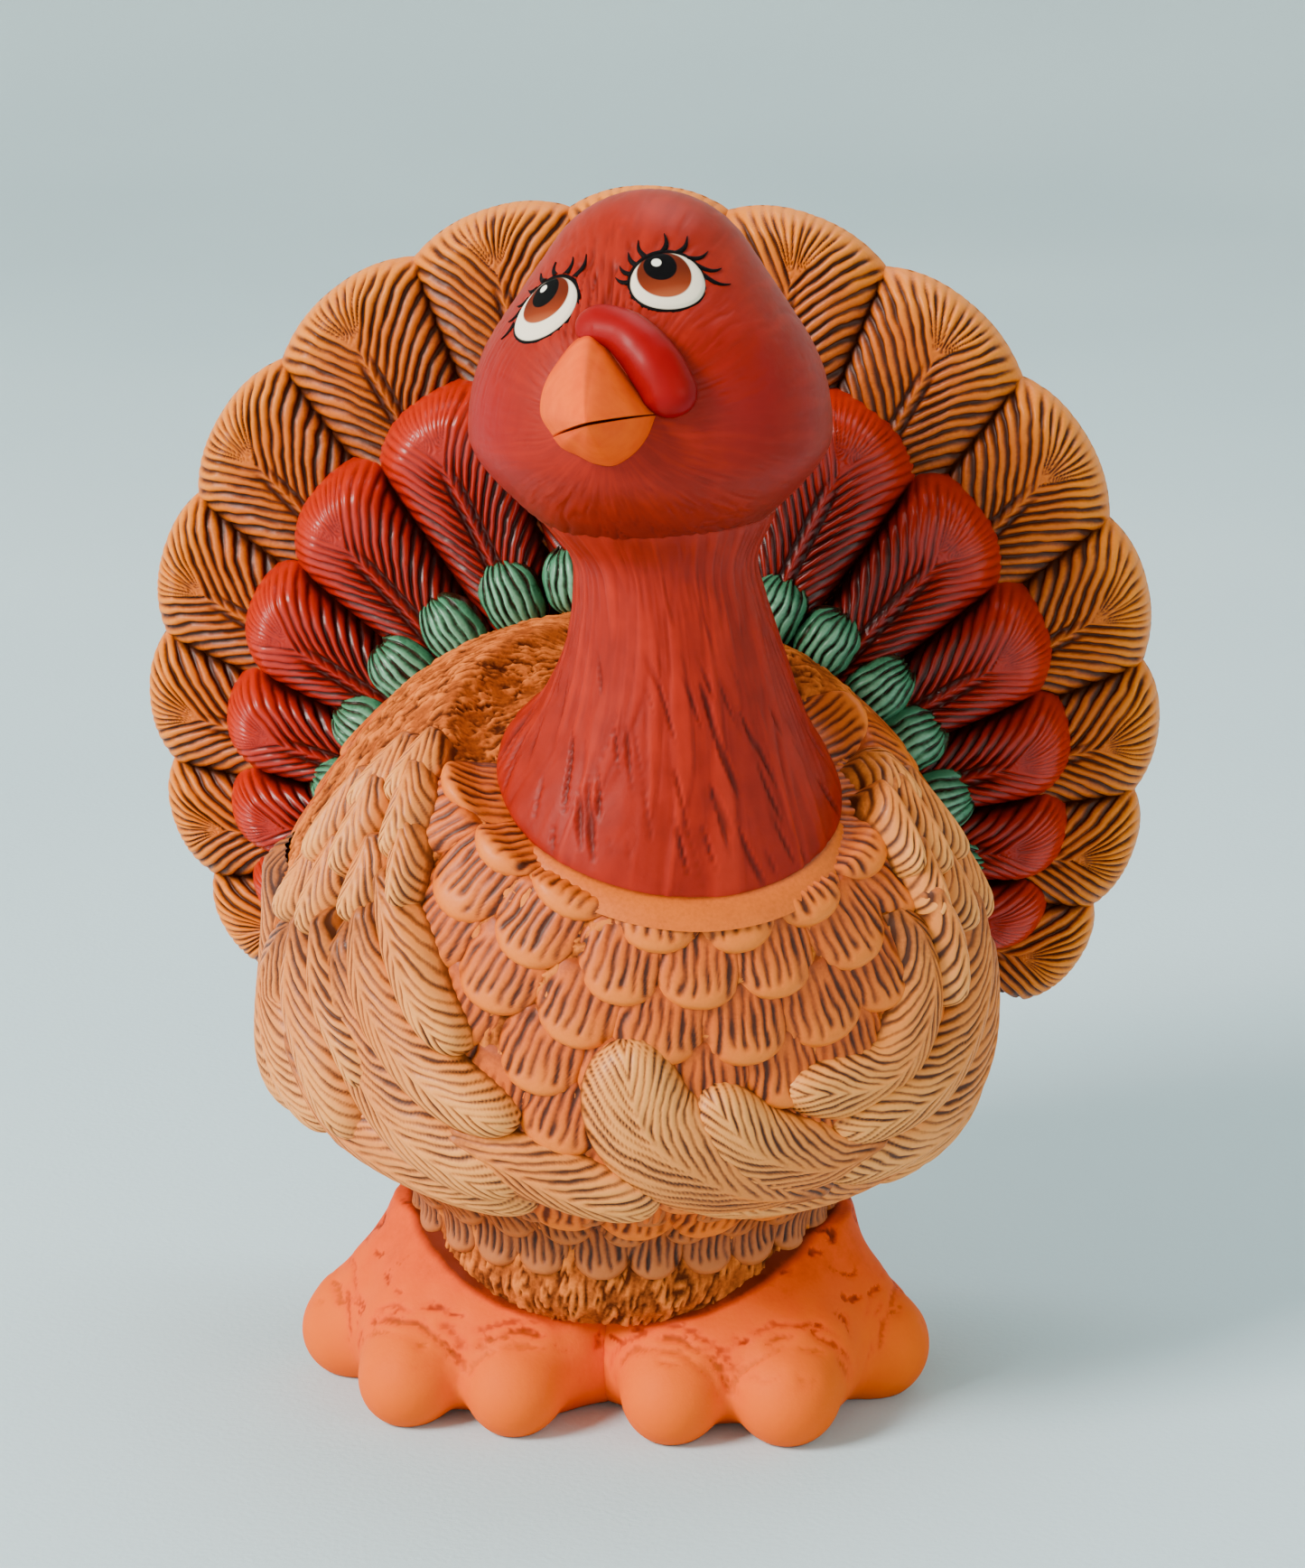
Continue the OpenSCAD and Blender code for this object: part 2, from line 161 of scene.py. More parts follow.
def through(points, t):
    """A smooth curve through a few points, at parameters t from 0 to 1."""
    p = np.asarray(points, float)
    gaps = np.linalg.norm(np.diff(p, axis=0), axis=1)
    knots = np.concatenate([[0], np.cumsum(gaps)]) / gaps.sum()
    slope = np.gradient(p, knots, axis=0)
    k = np.clip(np.searchsorted(knots, t, side="right") - 1, 0, len(p) - 2)
    span = (knots[k + 1] - knots[k])[..., None]
    f = ((t - knots[k])[..., None]) / span
    return (p[k] * (1 + 2 * f) * (1 - f) ** 2 + p[k + 1] * f * f * (3 - 2 * f)
            + slope[k] * span * f * (1 - f) ** 2 + slope[k + 1] * span * f * f * (f - 1))


def normals(p, close=False):
    """Unit normals of a grid of points; close wraps the columns."""
    down = np.gradient(p, axis=0)
    if close:
        across = (np.roll(p, -1, axis=1) - np.roll(p, 1, axis=1)) / 2
    else:
        across = np.gradient(p, axis=1)
    return unit(np.cross(across, down))


# ---------- meshes

def make_mesh(name, verts, faces, values):
    """A smooth-shaded object from quads, with one float per point for each named value."""
    me = bpy.data.meshes.new(name)
    co = (np.asarray(verts, dtype=np.float64) + (0, SHIFT_Y, 0)) * MM
    me.vertices.add(len(co))
    me.vertices.foreach_set("co", co.astype(np.float32).ravel())
    faces = np.asarray(faces, dtype=np.int32)
    me.loops.add(faces.size)
    me.loops.foreach_set("vertex_index", faces.ravel())
    me.polygons.add(len(faces))
    me.polygons.foreach_set("loop_start", np.arange(0, faces.size, 4, dtype=np.int32))
    me.polygons.foreach_set("use_smooth", np.ones(len(faces), dtype=bool))
    for key, value in values.items():
        layer = me.attributes.new(key, "FLOAT", "POINT")
        layer.data.foreach_set("value", np.asarray(value, dtype=np.float32).ravel())
    me.update(calc_edges=True)
    me.validate()
    obj = bpy.data.objects.new(name, me)
    bpy.context.scene.collection.objects.link(obj)
    return obj


def quads(rows, cols, start=0, close=False):
    """Quads of a grid of rows by cols points; close joins the last column to the first."""
    last = cols if close else cols - 1
    i, j = np.meshgrid(np.arange(rows - 1), np.arange(last), indexing="ij")
    k = (j + 1) % cols
    corners = [i * cols + j, i * cols + k, (i + 1) * cols + k, (i + 1) * cols + j]
    return (start + np.stack(corners, -1)).reshape(-1, 4)


class Pile:
    """Collects grids of points that end up in one object."""

    def __init__(self):
        self.points, self.faces, self.values, self.total = [], [], {}, 0

    def add(self, grid_points, flip=False, close=False, **values):
        """One open or closed sheet; its faces look along across x down unless flipped."""
        rows, cols = grid_points.shape[:2]
        faces = quads(rows, cols, self.total, close)
        self.faces.append(faces[:, ::-1] if flip else faces)
        self.points.append(grid_points.reshape(-1, 3))
        for key, value in values.items():
            self.values.setdefault(key, []).append(np.broadcast_to(value, (rows, cols)).ravel())
        self.total += rows * cols

    def object(self, name):
        """One mesh object from all the sheets."""
        values = {key: np.concatenate(v) for key, v in self.values.items()}
        return make_mesh(name, np.concatenate(self.points), np.concatenate(self.faces), values)


def finish_piece(obj, material, slot, *nodes):
    """Material, body and the CAD nodes that the piece stands for; slot is not used."""
    obj.data.materials.append(material)
    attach(obj, "root")
    if nodes:
        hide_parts(*nodes)


# ---------- materials

def srgb(r, g, b):
    """A linear colour from 0 to 255 display values."""
    def linear(c):
        c /= 255
        return c / 12.92 if c < 0.04045 else ((c + 0.055) / 1.055) ** 2.4
    return (linear(r), linear(g), linear(b), 1.0)


class Paint:
    """A node material with short ways to add the nodes that every finish here needs."""

    def __init__(self, name, rough, coat=0.0, shine=0.2):
        self.mat = bpy.data.materials.new(name)
        self.mat.use_nodes = True
        self.nodes = self.mat.node_tree.nodes
        self.links = self.mat.node_tree.links
        self.shader = self.nodes["Principled BSDF"]
        self.shader.inputs["Roughness"].default_value = rough
        self.shader.inputs["Coat Weight"].default_value = coat
        self.shader.inputs["Coat Roughness"].default_value = 0.22
        self.shader.inputs["Specular IOR Level"].default_value = shine
        self.place = self.nodes.new("ShaderNodeTexCoord").outputs["Object"]

    def value(self, name):
        """A value that the mesh carries at its points."""
        node = self.nodes.new("ShaderNodeAttribute")
        node.attribute_name = name
        return node.outputs["Fac"]

    def grain(self, size_mm, detail=3):
        """Noise with features about size_mm wide."""
        node = self.nodes.new("ShaderNodeTexNoise")
        node.inputs["Scale"].default_value = 1 / (size_mm * MM)
        node.inputs["Detail"].default_value = detail
        self.links.new(self.place, node.inputs["Vector"])
        return node.outputs["Fac"]

    def math(self, kind, a, b=0.0, c=0.0):
        """A maths node over numbers and sockets."""
        node = self.nodes.new("ShaderNodeMath")
        node.operation = kind
        for socket, value in zip(node.inputs, (a, b, c)):
            if isinstance(value, (int, float)):
                socket.default_value = value
            else:
                self.links.new(value, socket)
        return node.outputs["Value"]

    def ramp(self, factor, *stops):
        """A colour ramp through (position, colour) stops."""
        node = self.nodes.new("ShaderNodeValToRGB")
        ends = node.color_ramp.elements
        for k, (position, colour) in enumerate(stops):
            stop = ends[k] if k < 2 else ends.new(position)
            stop.position = position
            stop.color = colour
        self.links.new(factor, node.inputs["Fac"])
        return node.outputs["Color"]

    def mix(self, factor, a, b):
        """Colour a where factor is 0, b where it is 1."""
        node = self.nodes.new("ShaderNodeMix")
        node.data_type = "RGBA"
        colours = [socket for socket in node.inputs if socket.type == "RGBA"]
        for socket, value in zip((node.inputs[0], *colours), (factor, a, b)):
            if isinstance(value, (int, float, tuple)):
                socket.default_value = value
            else:
                self.links.new(value, socket)
        return next(socket for socket in node.outputs if socket.type == "RGBA")

    def clouded(self, level, size_mm, amount):
        """The level plus noise about zero."""
        return self.math("MULTIPLY_ADD", self.math("SUBTRACT", self.grain(size_mm), 0.5), amount, level)

    def tinted(self, colour, name, amount, other):
        """The colour, turning into another one where the mesh's named value is high."""
        return self.mix(self.math("MULTIPLY", self.value(name), amount), colour, other)

    def finish(self, colour, bump_mm=0.06, bump_size=0.9):
        """Colour on the shader, with the fine unevenness of brushed paint as bump."""
        self.links.new(colour, self.shader.inputs["Base Color"])
        bump = self.nodes.new("ShaderNodeBump")
        bump.inputs["Strength"].default_value = 1.0
        bump.inputs["Distance"].default_value = bump_mm * MM
        self.links.new(self.grain(bump_size, 4), bump.inputs["Height"])
        self.links.new(bump.outputs["Normal"], self.shader.inputs["Normal"])
        return self.mat


def brushed(name, dark, base, light, glow, rough, coat=0.0, worn=0.18, shine=0.24):
    """Dry-brushed paint: stain stays in the grooves, the ridges and the tips catch the lighter coats."""
    paint = Paint(name, rough, coat, shine)
    flecked = paint.clouded(paint.value("paint"), 0.8, worn * 2)
    level = paint.clouded(flecked, 7.0, worn)
    between = tuple(0.55 * a + 0.45 * b for a, b in zip(dark, base))
    colour = paint.ramp(level, (0.16, dark), (0.95, light), (0.46, between), (0.70, base))
    tip = paint.math("MULTIPLY", paint.value("tip"), paint.math("MULTIPLY", level, level))
    colour = paint.mix(paint.math("MINIMUM", tip, 1.0), colour, glow)
    return paint.finish(colour)


# ---------- tail fan

def reach(angle, mid, radius):
    """Distance from the fan's root to a circle about (0, mid), in directions from upright."""
    d = mid - ROOT[1]
    return d * np.cos(angle) + np.sqrt(radius ** 2 - (d * np.sin(angle)) ** 2)


def both_sides(angles):
    """Angle and the half widths before and after it, in radians, from the bird's right to its left."""
    skip = 1 if angles[0] == 0 else 0
    full = [-a for a in reversed(angles[skip:])] + list(angles)
    steps = np.diff(full) / 2 + 0.35
    before = [steps[0]] + list(steps)
    after = list(steps) + [steps[-1]]
    return [tuple(math.radians(x) for x in trio) for trio in zip(full, before, after)]


def barb_phase(u, v, rib_end, pitch, slope, bend, fans):
    """A count that is constant along each barb: swept off the midrib, then fanning round its end."""
    swept = (v - slope * u + bend * u * u) / pitch
    above = np.clip(v - rib_end, 1e-3, 0.98 * slope ** 2 / (4 * bend))
    edge = (slope - np.sqrt(slope ** 2 - 4 * bend * above)) / (2 * bend)
    fanned = rib_end / pitch + fans * (1 - u / np.maximum(edge, 1e-3))
    inside = swept * pitch > rib_end
    return np.where(inside, fanned, swept), np.where(inside, 1.0, 0.0), edge


def fan_feather(angle, before, after, inner, mid, radius, rim_y, crest_y, rows, cols, seed,
                lobe=4.2, edge=6.5, floor=0.36, pitch=3.7, slope=1.6, bend=0.03, fans=4.0,
                tip_room=14.0, deep=0.9, calm=0.0):
    """One sheet of a fan feather: a domed blade with a midrib and barbs; returns points, paint and tip.

    lobe is how far the tip's corners fall back, edge the width of the bevel and floor the blade's
    height at its sides. Barbs stand pitch apart, sweep off the midrib by slope and bend, and fan
    round its end with tip_room left over. deep is the depth of a groove, calm smooths the tip.
    """
    s, t = grid(rows, cols)
    s, t = s ** 0.75, 2 * t - 1
    turn = t * np.where(t < 0, before, after)
    wide = np.where(t < 0, before, after)
    tip = reach(angle + turn, mid, radius) - lobe * np.abs(t) ** 2.3
    length = reach(angle, mid, radius) - inner
    r = inner + s * (tip - inner)
    along = r * np.cos(turn) - inner
    across = np.abs(r * np.sin(turn))
    dome = 1 - 0.15 * np.abs(t) ** 1.5 - 0.85 * np.abs(t) ** 3.4
    close = np.clip((tip - r) / edge, 0, 1)
    bevel = np.sqrt(np.maximum(1 - (1 - close) ** 2, 0))
    rib_end = length - tip_room
    on_rib = smooth(along, rib_end + 1, rib_end - 8)
    dip = 0.13 * np.exp(-(across / 3.0) ** 2) * on_rib
    sag = 0.10 * smooth(tip - r, 12, 34)
    height = (crest_y - rim_y) * bevel * (floor + (1 - floor) * (dome - dip) - sag)
    x, z = ROOT[0] + r * np.sin(angle + turn), ROOT[1] + r * np.cos(angle + turn)
    base = np.stack([x, rim_y + height, z], -1)

    side = np.where(t > 0, 1.0, -1.0)
    wander = (0.20 * noise2(across / 6 + side * 9, along / 9, seed)
              + 0.07 * noise2(across / 2.2, along / 3, seed + 5))
    phase, fanned, spread = barb_phase(across, along, rib_end, pitch, slope, bend, fans)
    phase = phase + wander + 0.22 * side
    lane = np.floor(phase)
    strength = np.clip(0.72 + 0.45 * noise2(across / 5 + side * 5, lane * 1.37, seed + 3)
                       + 0.25 * noise2(across / 2.5, lane * 2.1, seed + 4), 0.12, 1.0)
    rib = np.exp(-(across / 0.8) ** 2) * on_rib
    carve = cut(phase, 0.12 + 0.09 * strength) * (0.35 + 0.65 * strength) * (1 - 0.95 * rib)
    carve *= 1 - fanned * smooth(spread, 3.0, 0.8)
    carve *= 1 - calm * smooth(tip - r, tip_room + 6, tip_room - 5)
    carve *= smooth(tip - r, 0.2, 2.2) * 0.8 + 0.2
    gap = (1 - np.abs(t)) * wide * r
    carve = np.maximum(carve, 0.5 * np.exp(-(gap / 1.2) ** 2) * smooth(tip - r, 0, 4))
    carve = np.maximum(carve, 0.75 * np.exp(-((across - 1.5) / 0.6) ** 2) * on_rib)
    outward = normals(base) * -np.sign(crest_y - rim_y)
    ridge = 0.16 * np.cos(2 * np.pi * phase) * smooth(tip - r, 0.5, 3)
    points = base + outward * (0.7 * rib + ridge * (1 - calm) - deep * carve)[..., None]
    # Painted shade: darker in the valley between neighbouring feathers.
    valley = 0.6 * np.exp(-(gap / 2.2) ** 2) * smooth(tip - r, 1, 9)
    deeper = 0.25 * smooth(tip - r, 16, 34)
    paint = np.clip(1 - 1.25 * carve - valley - deeper, 0, 1)
    glow = smooth(tip - r, 14, 1.5) * (0.5 + 0.5 * dome)
    return points, paint, glow


def add_fan_feather(pile, spot, *sizes, flip=False, **style):
    """A fan feather, for one (angle, before, after) spot of the fan, on a pile."""
    points, paint, glow = fan_feather(*spot, *sizes, **style)
    pile.add(points, flip=flip, paint=paint, tip=glow)


def make_gold_and_back():
    """Golden feathers in front, and the fan's back with a feather behind each of them."""
    gold = brushed("gold_feather_paint", srgb(68, 24, 4), srgb(156, 66, 0), srgb(202, 95, 0),
                   srgb(236, 130, 6), 0.46, 0.04)
    brown = brushed("fan_back_paint", srgb(72, 28, 10), srgb(178, 74, 14), srgb(220, 104, 20),
                    srgb(244, 130, 42), 0.45, 0.06)
    front_y, back_y = FAN_Y - 10.4, plate_high[1] - SHIFT_Y + 2.4
    back = Pile()
    for k, spot in enumerate(both_sides(GOLD_ANGLES)):
        node = f"gold_feather_{k + 1:02d}"
        front = Pile()
        add_fan_feather(front, spot, 76, FAN_MID, FAN_R, FAN_Y, front_y, count(150), count(116), k)
        finish_piece(front.object(node + "_blade"), gold, "gold_feather", node)
        add_fan_feather(back, spot, 40, FAN_MID, FAN_R, FAN_Y, back_y, count(112), count(58), 40 + k,
                        flip=True, edge=7, floor=0.78, pitch=4.6, deep=0.6, tip_room=16)
    finish_piece(back.object("fan_back_blades"), brown, "fan_back", "fan_back_feathers", "fan_plate")


def make_red_ring():
    """Red feathers in front of the golden ones, with smooth tips."""
    red = brushed("red_feather_paint", srgb(62, 6, 1), srgb(140, 15, 0), srgb(168, 24, 1),
                  srgb(188, 35, 2), 0.34, 0.18, 0.12)
    for k, spot in enumerate(both_sides(RED_ANGLES)):
        node = f"red_feather_{k + 1:02d}"
        blade = Pile()
        add_fan_feather(blade, spot, 62, RED_MID, RED_R, FAN_Y - 3.0, FAN_Y - 19.5, count(132), count(100),
                        80 + k, lobe=6.0, edge=8.5, floor=0.42, pitch=3.4, slope=1.9, bend=0.045, fans=5.0,
                        tip_room=15, deep=1.0, calm=0.55)
        finish_piece(blade.object(node + "_blade"), red, "red_feather", node)


def make_green_row():
    """Plump ribbed pods between the body and the red feathers."""
    green = brushed("green_feather_paint", srgb(50, 26, 14), srgb(44, 98, 68), srgb(72, 132, 98),
                    srgb(116, 168, 134), 0.26, 0.3, 0.35)
    pods = Pile()
    rng = np.random.default_rng(5)
    ribs = 7
    for k in range(-7, 8):
        angle = math.radians(k * GREEN_STEP + rng.uniform(-0.9, 0.9))
        s, t = grid(count(66), count(96))
        t = 2 * t - 1
        inner, outer = 62 + rng.uniform(-1, 1), 79.5 + rng.uniform(-1.0, 1.0)
        half = rng.uniform(7.2, 8.0) * np.sqrt(np.maximum(1 - np.abs(2 * s - 1.02) ** 2.6 / 1.1, 0.015))
        across = t * half + 0.5 * noise2(s * 3, t, 60 + k)
        r = inner + s * (outer - inner) + 0.9 * noise2(t * 4, s, 90 + k) * smooth(s, 0.6, 1)
        phase = (t * 0.5 + 0.5) * ribs + 0.22 * noise2(t * 2, s * 4, k)
        uneven = np.clip(0.8 + 0.5 * noise2(s * 4, np.floor(phase), k), 0.2, 1)
        groove = cut(phase - 0.5, 0.2) * smooth(s, 0, 0.08) * uneven
        puff = np.sqrt(np.maximum(1 - t ** 2, 0)) * np.sqrt(np.maximum(1 - np.abs(2 * s - 1) ** 2.4, 0))
        y = FAN_Y - 15.0 - 8.0 * puff + 1.6 * groove * puff ** 0.3
        x = ROOT[0] + r * math.sin(angle) + across * math.cos(angle)
        z = ROOT[1] + r * math.cos(angle) - across * math.sin(angle)
        fleck = noise2(x / 2.5, z / 2.5, 3)
        paint = np.clip(1 - groove - 0.6 * (puff < 0.3) + 0.25 * fleck, 0, 1)
        pods.add(np.stack([x, y, z], -1), paint=paint, tip=smooth(puff, 0.5, 1))
    finish_piece(pods.object("green_covert_pods"), green, "green_feather", "green_coverts")


# ---------- the body's surface

def body_profile():
    """Arc length, radius, height and outward normal along the body from its base to its crown."""
    low = np.linspace(-math.asin((BODY_MID - BASE_Z) / BELLY_H), 0, 800, endpoint=False)
    high = np.linspace(0, math.pi / 2, 2000)
    r = np.concatenate([BODY_R * np.cos(low), BODY_R * np.cos(high) ** (2 / DOME_POWER)])
    z = BODY_MID + np.concatenate([BELLY_H * np.sin(low), DOME_H * np.sin(high) ** (2 / DOME_POWER)])
    r = r * (1 - WAIST_DEPTH * np.exp(-((z - WAIST_Z) / WAIST_H) ** 2))
    arc = np.concatenate([[0], np.cumsum(np.hypot(np.diff(r), np.diff(z)))])
    return arc, r, z, np.gradient(z, arc), -np.gradient(r, arc)


ARC, RADIUS, HEIGHT, NORMAL_R, NORMAL_Z = body_profile()


def arc_at(z):
    """Arc length from the base to height z."""
    return np.interp(z, HEIGHT, ARC)


def seat(points, lift):
    """Presses points down round the neck's hem, so that it stands on the body; lift is what lies above."""
    away = points - HEM
    high = away @ HEM_AXIS
    far = np.linalg.norm(away - high[..., None] * HEM_AXIS, axis=-1)
    limit = -1.6 + 9.0 * (np.maximum(far - HEM_R - 2.5, 0) / 14) ** 1.6 + np.maximum(lift, 0)
    over = 1.1 * np.logaddexp(0, (high - limit) / 1.1)
    return points - HEM_AXIS * over[..., None]


def body_spot(turn, arc, lift):
    """Points on the body: degrees from the front towards +X, arc length from the base, lift off the wall."""
    height = np.interp(arc, ARC, HEIGHT)
    side = np.abs((turn + 180) % 360 - 180)
    pad = 5.5 * np.exp(-((side - 80) / 30) ** 2) * smooth(height, 42, 66) * smooth(height, 150, 116)
    r = np.interp(arc, ARC, RADIUS) + (lift + pad) * np.interp(arc, ARC, NORMAL_R)
    z = height + lift * np.interp(arc, ARC, NORMAL_Z)
    a = np.radians(turn)
    return seat(np.stack([r * np.sin(a), -r * np.cos(a), z], -1), lift + 0 * r)


def body_path(points, n):
    """n even steps along a smooth path through (turn, height) points: turn, arc, direction and length."""
    turn, z = through(points, np.linspace(0, 1, 200)).T
    arc = arc_at(z)
    girth = np.interp(arc, ARC, RADIUS)
    du = np.radians(np.diff(turn)) * (girth[1:] + girth[:-1]) / 2
    far = np.concatenate([[0], np.cumsum(np.hypot(du, np.diff(arc)))])
    even = np.linspace(0, far[-1], n)
    turn, arc = np.interp(even, far, turn), np.interp(even, far, arc)
    girth = np.interp(arc, ARC, RADIUS)
    du, dv = np.gradient(np.radians(turn), even) * girth, np.gradient(arc, even)
    size = np.hypot(du, dv)
    return turn, arc, du / size, dv / size, far[-1]


def leaf(pile, points, width, top, rows, cols, seed, kind="barbs", blunt=5.0, root=0.55, pitch=2.0,
         deep=0.6, tint=0.5, sweep=1.7):
    """A carved feather on the body along a path; top is its height above the wall at root and tip.

    kind is "barbs" for strokes that sweep off a midrib, or "scale" for strokes along the feather.
    blunt squares the tip off, root is the width at the root as a share of the full width.
    """
    s, t = grid(count(rows), count(cols))
    t = 2 * t - 1
    turn, arc, du, dv, length = body_path(points, s.shape[0])
    half = width / 2 * (root + (1 - root) * smooth(s, 0, 0.45)) * np.sqrt(np.maximum(1 - s ** blunt, 0))
    x = t * half
    along = s * length
    girth = np.interp(arc, ARC, RADIUS)[:, None]
    turns = turn[:, None] + np.degrees(x * dv[:, None] / girth)
    arcs = arc[:, None] - x * du[:, None]
    dome = (1 - np.abs(t) ** 2.6 * 0.999) ** 0.55
    bevel = np.sqrt(np.maximum(1 - s ** 16, 0)) * smooth(s, -0.08, 0.10)
    side = np.where(t > 0, 1.0, -1.0)
    if kind == "barbs":
        wander = 0.35 * noise2(x / 5, along / 9, seed) + 0.12 * noise2(x / 1.8, along / 3, seed + 5)
        phase = (along - sweep * np.abs(x) + 0.06 * x ** 2) / pitch + wander
        strength = np.clip(0.6 + 0.55 * noise2(x / 3.5 + side * 5, phase / 1.6, seed + 3), 0.1, 1)
        rib = np.exp(-(x / 0.6) ** 2) * smooth(s, 0.9, 0.7)
        carve = cut(phase, 0.13 + 0.09 * strength) * (0.2 + 0.8 * strength) * (1 - 0.9 * rib)
        lift = 0.45 * rib
    else:
        wander = 0.28 * noise2(x / 3, along / 5, seed)
        phase = x / pitch * (1.12 - 0.3 * s) + wander + seed * 0.37
        lane = np.floor(phase)
        stop = 0.80 + 0.09 * noise2(lane * 1.7, lane * 0 + seed, seed + 2)
        start = 0.22 + 0.22 * noise2(lane * 2.3, lane * 0 + seed + 4, seed + 8)
        strength = np.clip(0.72 + 0.5 * noise2(lane * 1.3, along / 7, seed + 3), 0.15, 1)
        stroke = smooth(s, stop + 0.05, stop - 0.06) * smooth(s, start - 0.1, start + 0.1)
        carve = cut(phase, 0.22) * strength * stroke
        lift = 0.0
    carve = carve * smooth(np.abs(t), 1.0, 0.88)
    height = (top[0] + (top[1] - top[0]) * s ** 1.2 + 1.2) * dome * bevel - 1.2 + lift - deep * carve
    rim = np.maximum(np.abs(t) ** 3, s ** 22)
    paint = np.clip(1 - 1.2 * carve - 0.8 * smooth(rim, 0.72, 1.0) - 0.4 * smooth(s, 0.3, 0.0), 0, 1)
    pile.add(body_spot(turns, arcs, height), paint=paint, tip=smooth(s, 0.35, 0.95) * dome * (0.4 + tint))


# ---------- body, breast, skirt and back

def away_from_hem(bearing, angle):
    """Turn and height of the body point at an angle from the neck's seat, on a bearing from straight down."""
    axis = unit(HEM - (0, 0, BODY_MID))
    side = unit(np.cross((0.0, 0.0, 1.0), axis))
    down = np.cross(axis, side) * -1
    aim = axis * math.cos(angle) + (down * math.cos(bearing) + side * math.sin(bearing)) * math.sin(angle)
    flat = math.hypot(aim[0], aim[1])
    tall, power = (DOME_H, DOME_POWER) if aim[2] > 0 else (BELLY_H, 2.0)
    far = ((flat / BODY_R) ** power + (abs(aim[2]) / tall) ** power) ** (-1 / power)
    return math.degrees(math.atan2(aim[0], -aim[1])), BODY_MID + far * aim[2]


def make_body():
    """The body's own skin with shaggy carved down; its mesh is coarser below the dome, under feathers."""
    down = brushed("body_down_paint", srgb(78, 30, 10), srgb(168, 76, 22), srgb(208, 102, 32),
                   srgb(228, 124, 50), 0.85, 0.0, 0.3, 0.08)
    dome_arc = arc_at(104)
    arcs = np.concatenate([np.linspace(0, dome_arc, count(56), endpoint=False),
                           np.linspace(dome_arc, ARC[-1] - 0.4, count(160))])
    turns = np.linspace(0, 360, count(440), endpoint=False)
    arc, turn = np.meshgrid(arcs, turns, indexing="ij")
    base = body_spot(turn, arc, 0)
    girth = np.interp(arc, ARC, RADIUS)
    warp = noise(base / 7.5, 3)
    curl = noise(base / 3.6, 4)
    spin = np.radians(turn) * STROKE_R
    fade = girth / STROKE_R
    strand = noise2(spin / 2.1 + 1.5 * warp + 0.8 * curl, arc / 5.2 + 0.9 * curl, 7)
    tuft = noise(base / 4.6 + warp[..., None] * 0.5, 9)
    carve = np.exp(-(strand / 0.26) ** 2) * smooth(tuft, -0.8, 0.3)
    relief = (0.8 * tuft - 1.1 * carve) * (0.4 + 0.6 * fade)
    pile = Pile()
    paint = np.clip(0.88 - 0.95 * carve + 0.4 * tuft, 0, 1)
    pile.add(base + (body_spot(turn, arc, 1) - base) * relief[..., None], close=True, paint=paint,
             tip=np.clip(0.4 + 0.5 * tuft, 0, 1))
    floor_arc, floor_turn = np.meshgrid([0.0, 1.0], turns, indexing="ij")
    rim = body_spot(floor_turn, floor_arc * 0, 0)
    rim[0] = rim[0] * (0.22, 0.22, 1.0)
    rim[1] = pile.points[0][:len(turns)]
    pile.add(rim, close=True, paint=0.6, tip=0.0)
    finish_piece(pile.object("body_skin"), down, "body_tan", "body_shell", "rump_cover")


def make_breast(tan):
    """Scales that spread from the neck's hem over the breast, and the smooth ledge under the hem."""
    pile = Pile()
    hem_angle = math.asin(HEM_R / 79)
    rng = np.random.default_rng(11)
    for row in range(6, -1, -1):
        ring = hem_angle + math.radians(7.5 + 9.3 * row)
        pitch = 19.5 / STROKE_R / math.sin(ring)
        widest = [2.0, 1.75, 1.25, 1.0, 0.9, 0.8, 0.75][row]
        n = int(widest / pitch)
        for i in range(-n - 1, n + 1):
            bearing = (i + 0.5 * (row % 2) + 0.22) * pitch + rng.uniform(-0.03, 0.03)
            if abs(bearing) > widest:
                continue
            jitter = rng.uniform(-0.012, 0.012)
            path = [away_from_hem(bearing, ring - math.radians(14.5)),
                    away_from_hem(bearing + jitter, ring - math.radians(6)),
                    away_from_hem(bearing + 2 * jitter, ring + jitter)]
            leaf(pile, path, 22.5 * rng.uniform(0.94, 1.06), (0.3, 2.9), 42, 42, row * 31 + i, kind="scale",
                 blunt=4.2, root=0.8, pitch=2.35, deep=0.65, tint=0.6)
    out, around = grid(count(24), count(160))
    bearing = np.radians(205 + 130 * around)
    fade = np.sin(math.pi * around) ** 0.5
    width = -3 + 9.5 * out * (0.5 + 0.5 * fade)
    right = np.array([math.cos(HEM_TURN), math.sin(HEM_TURN), 0.0])
    ahead = np.cross(HEM_AXIS, right)
    ring = right * np.cos(bearing)[..., None] + ahead * np.sin(bearing)[..., None]
    ledge = HEM + ring * (HEM_R + width)[..., None]
    ledge = ledge + HEM_AXIS * ((1.1 * fade - 5.2 * np.maximum(out - 0.25, 0) ** 1.8)[..., None])
    # Painted shadow: the ledge is darker where it runs in under the neck's hem.
    pile.add(ledge, flip=True, paint=0.9 - 0.5 * smooth(width, 0.5, -1.0), tip=0.4 * smooth(out, 0.1, 0.5))
    finish_piece(pile.object("breast_scales"), tan, "body_tan", "breast_feathers")


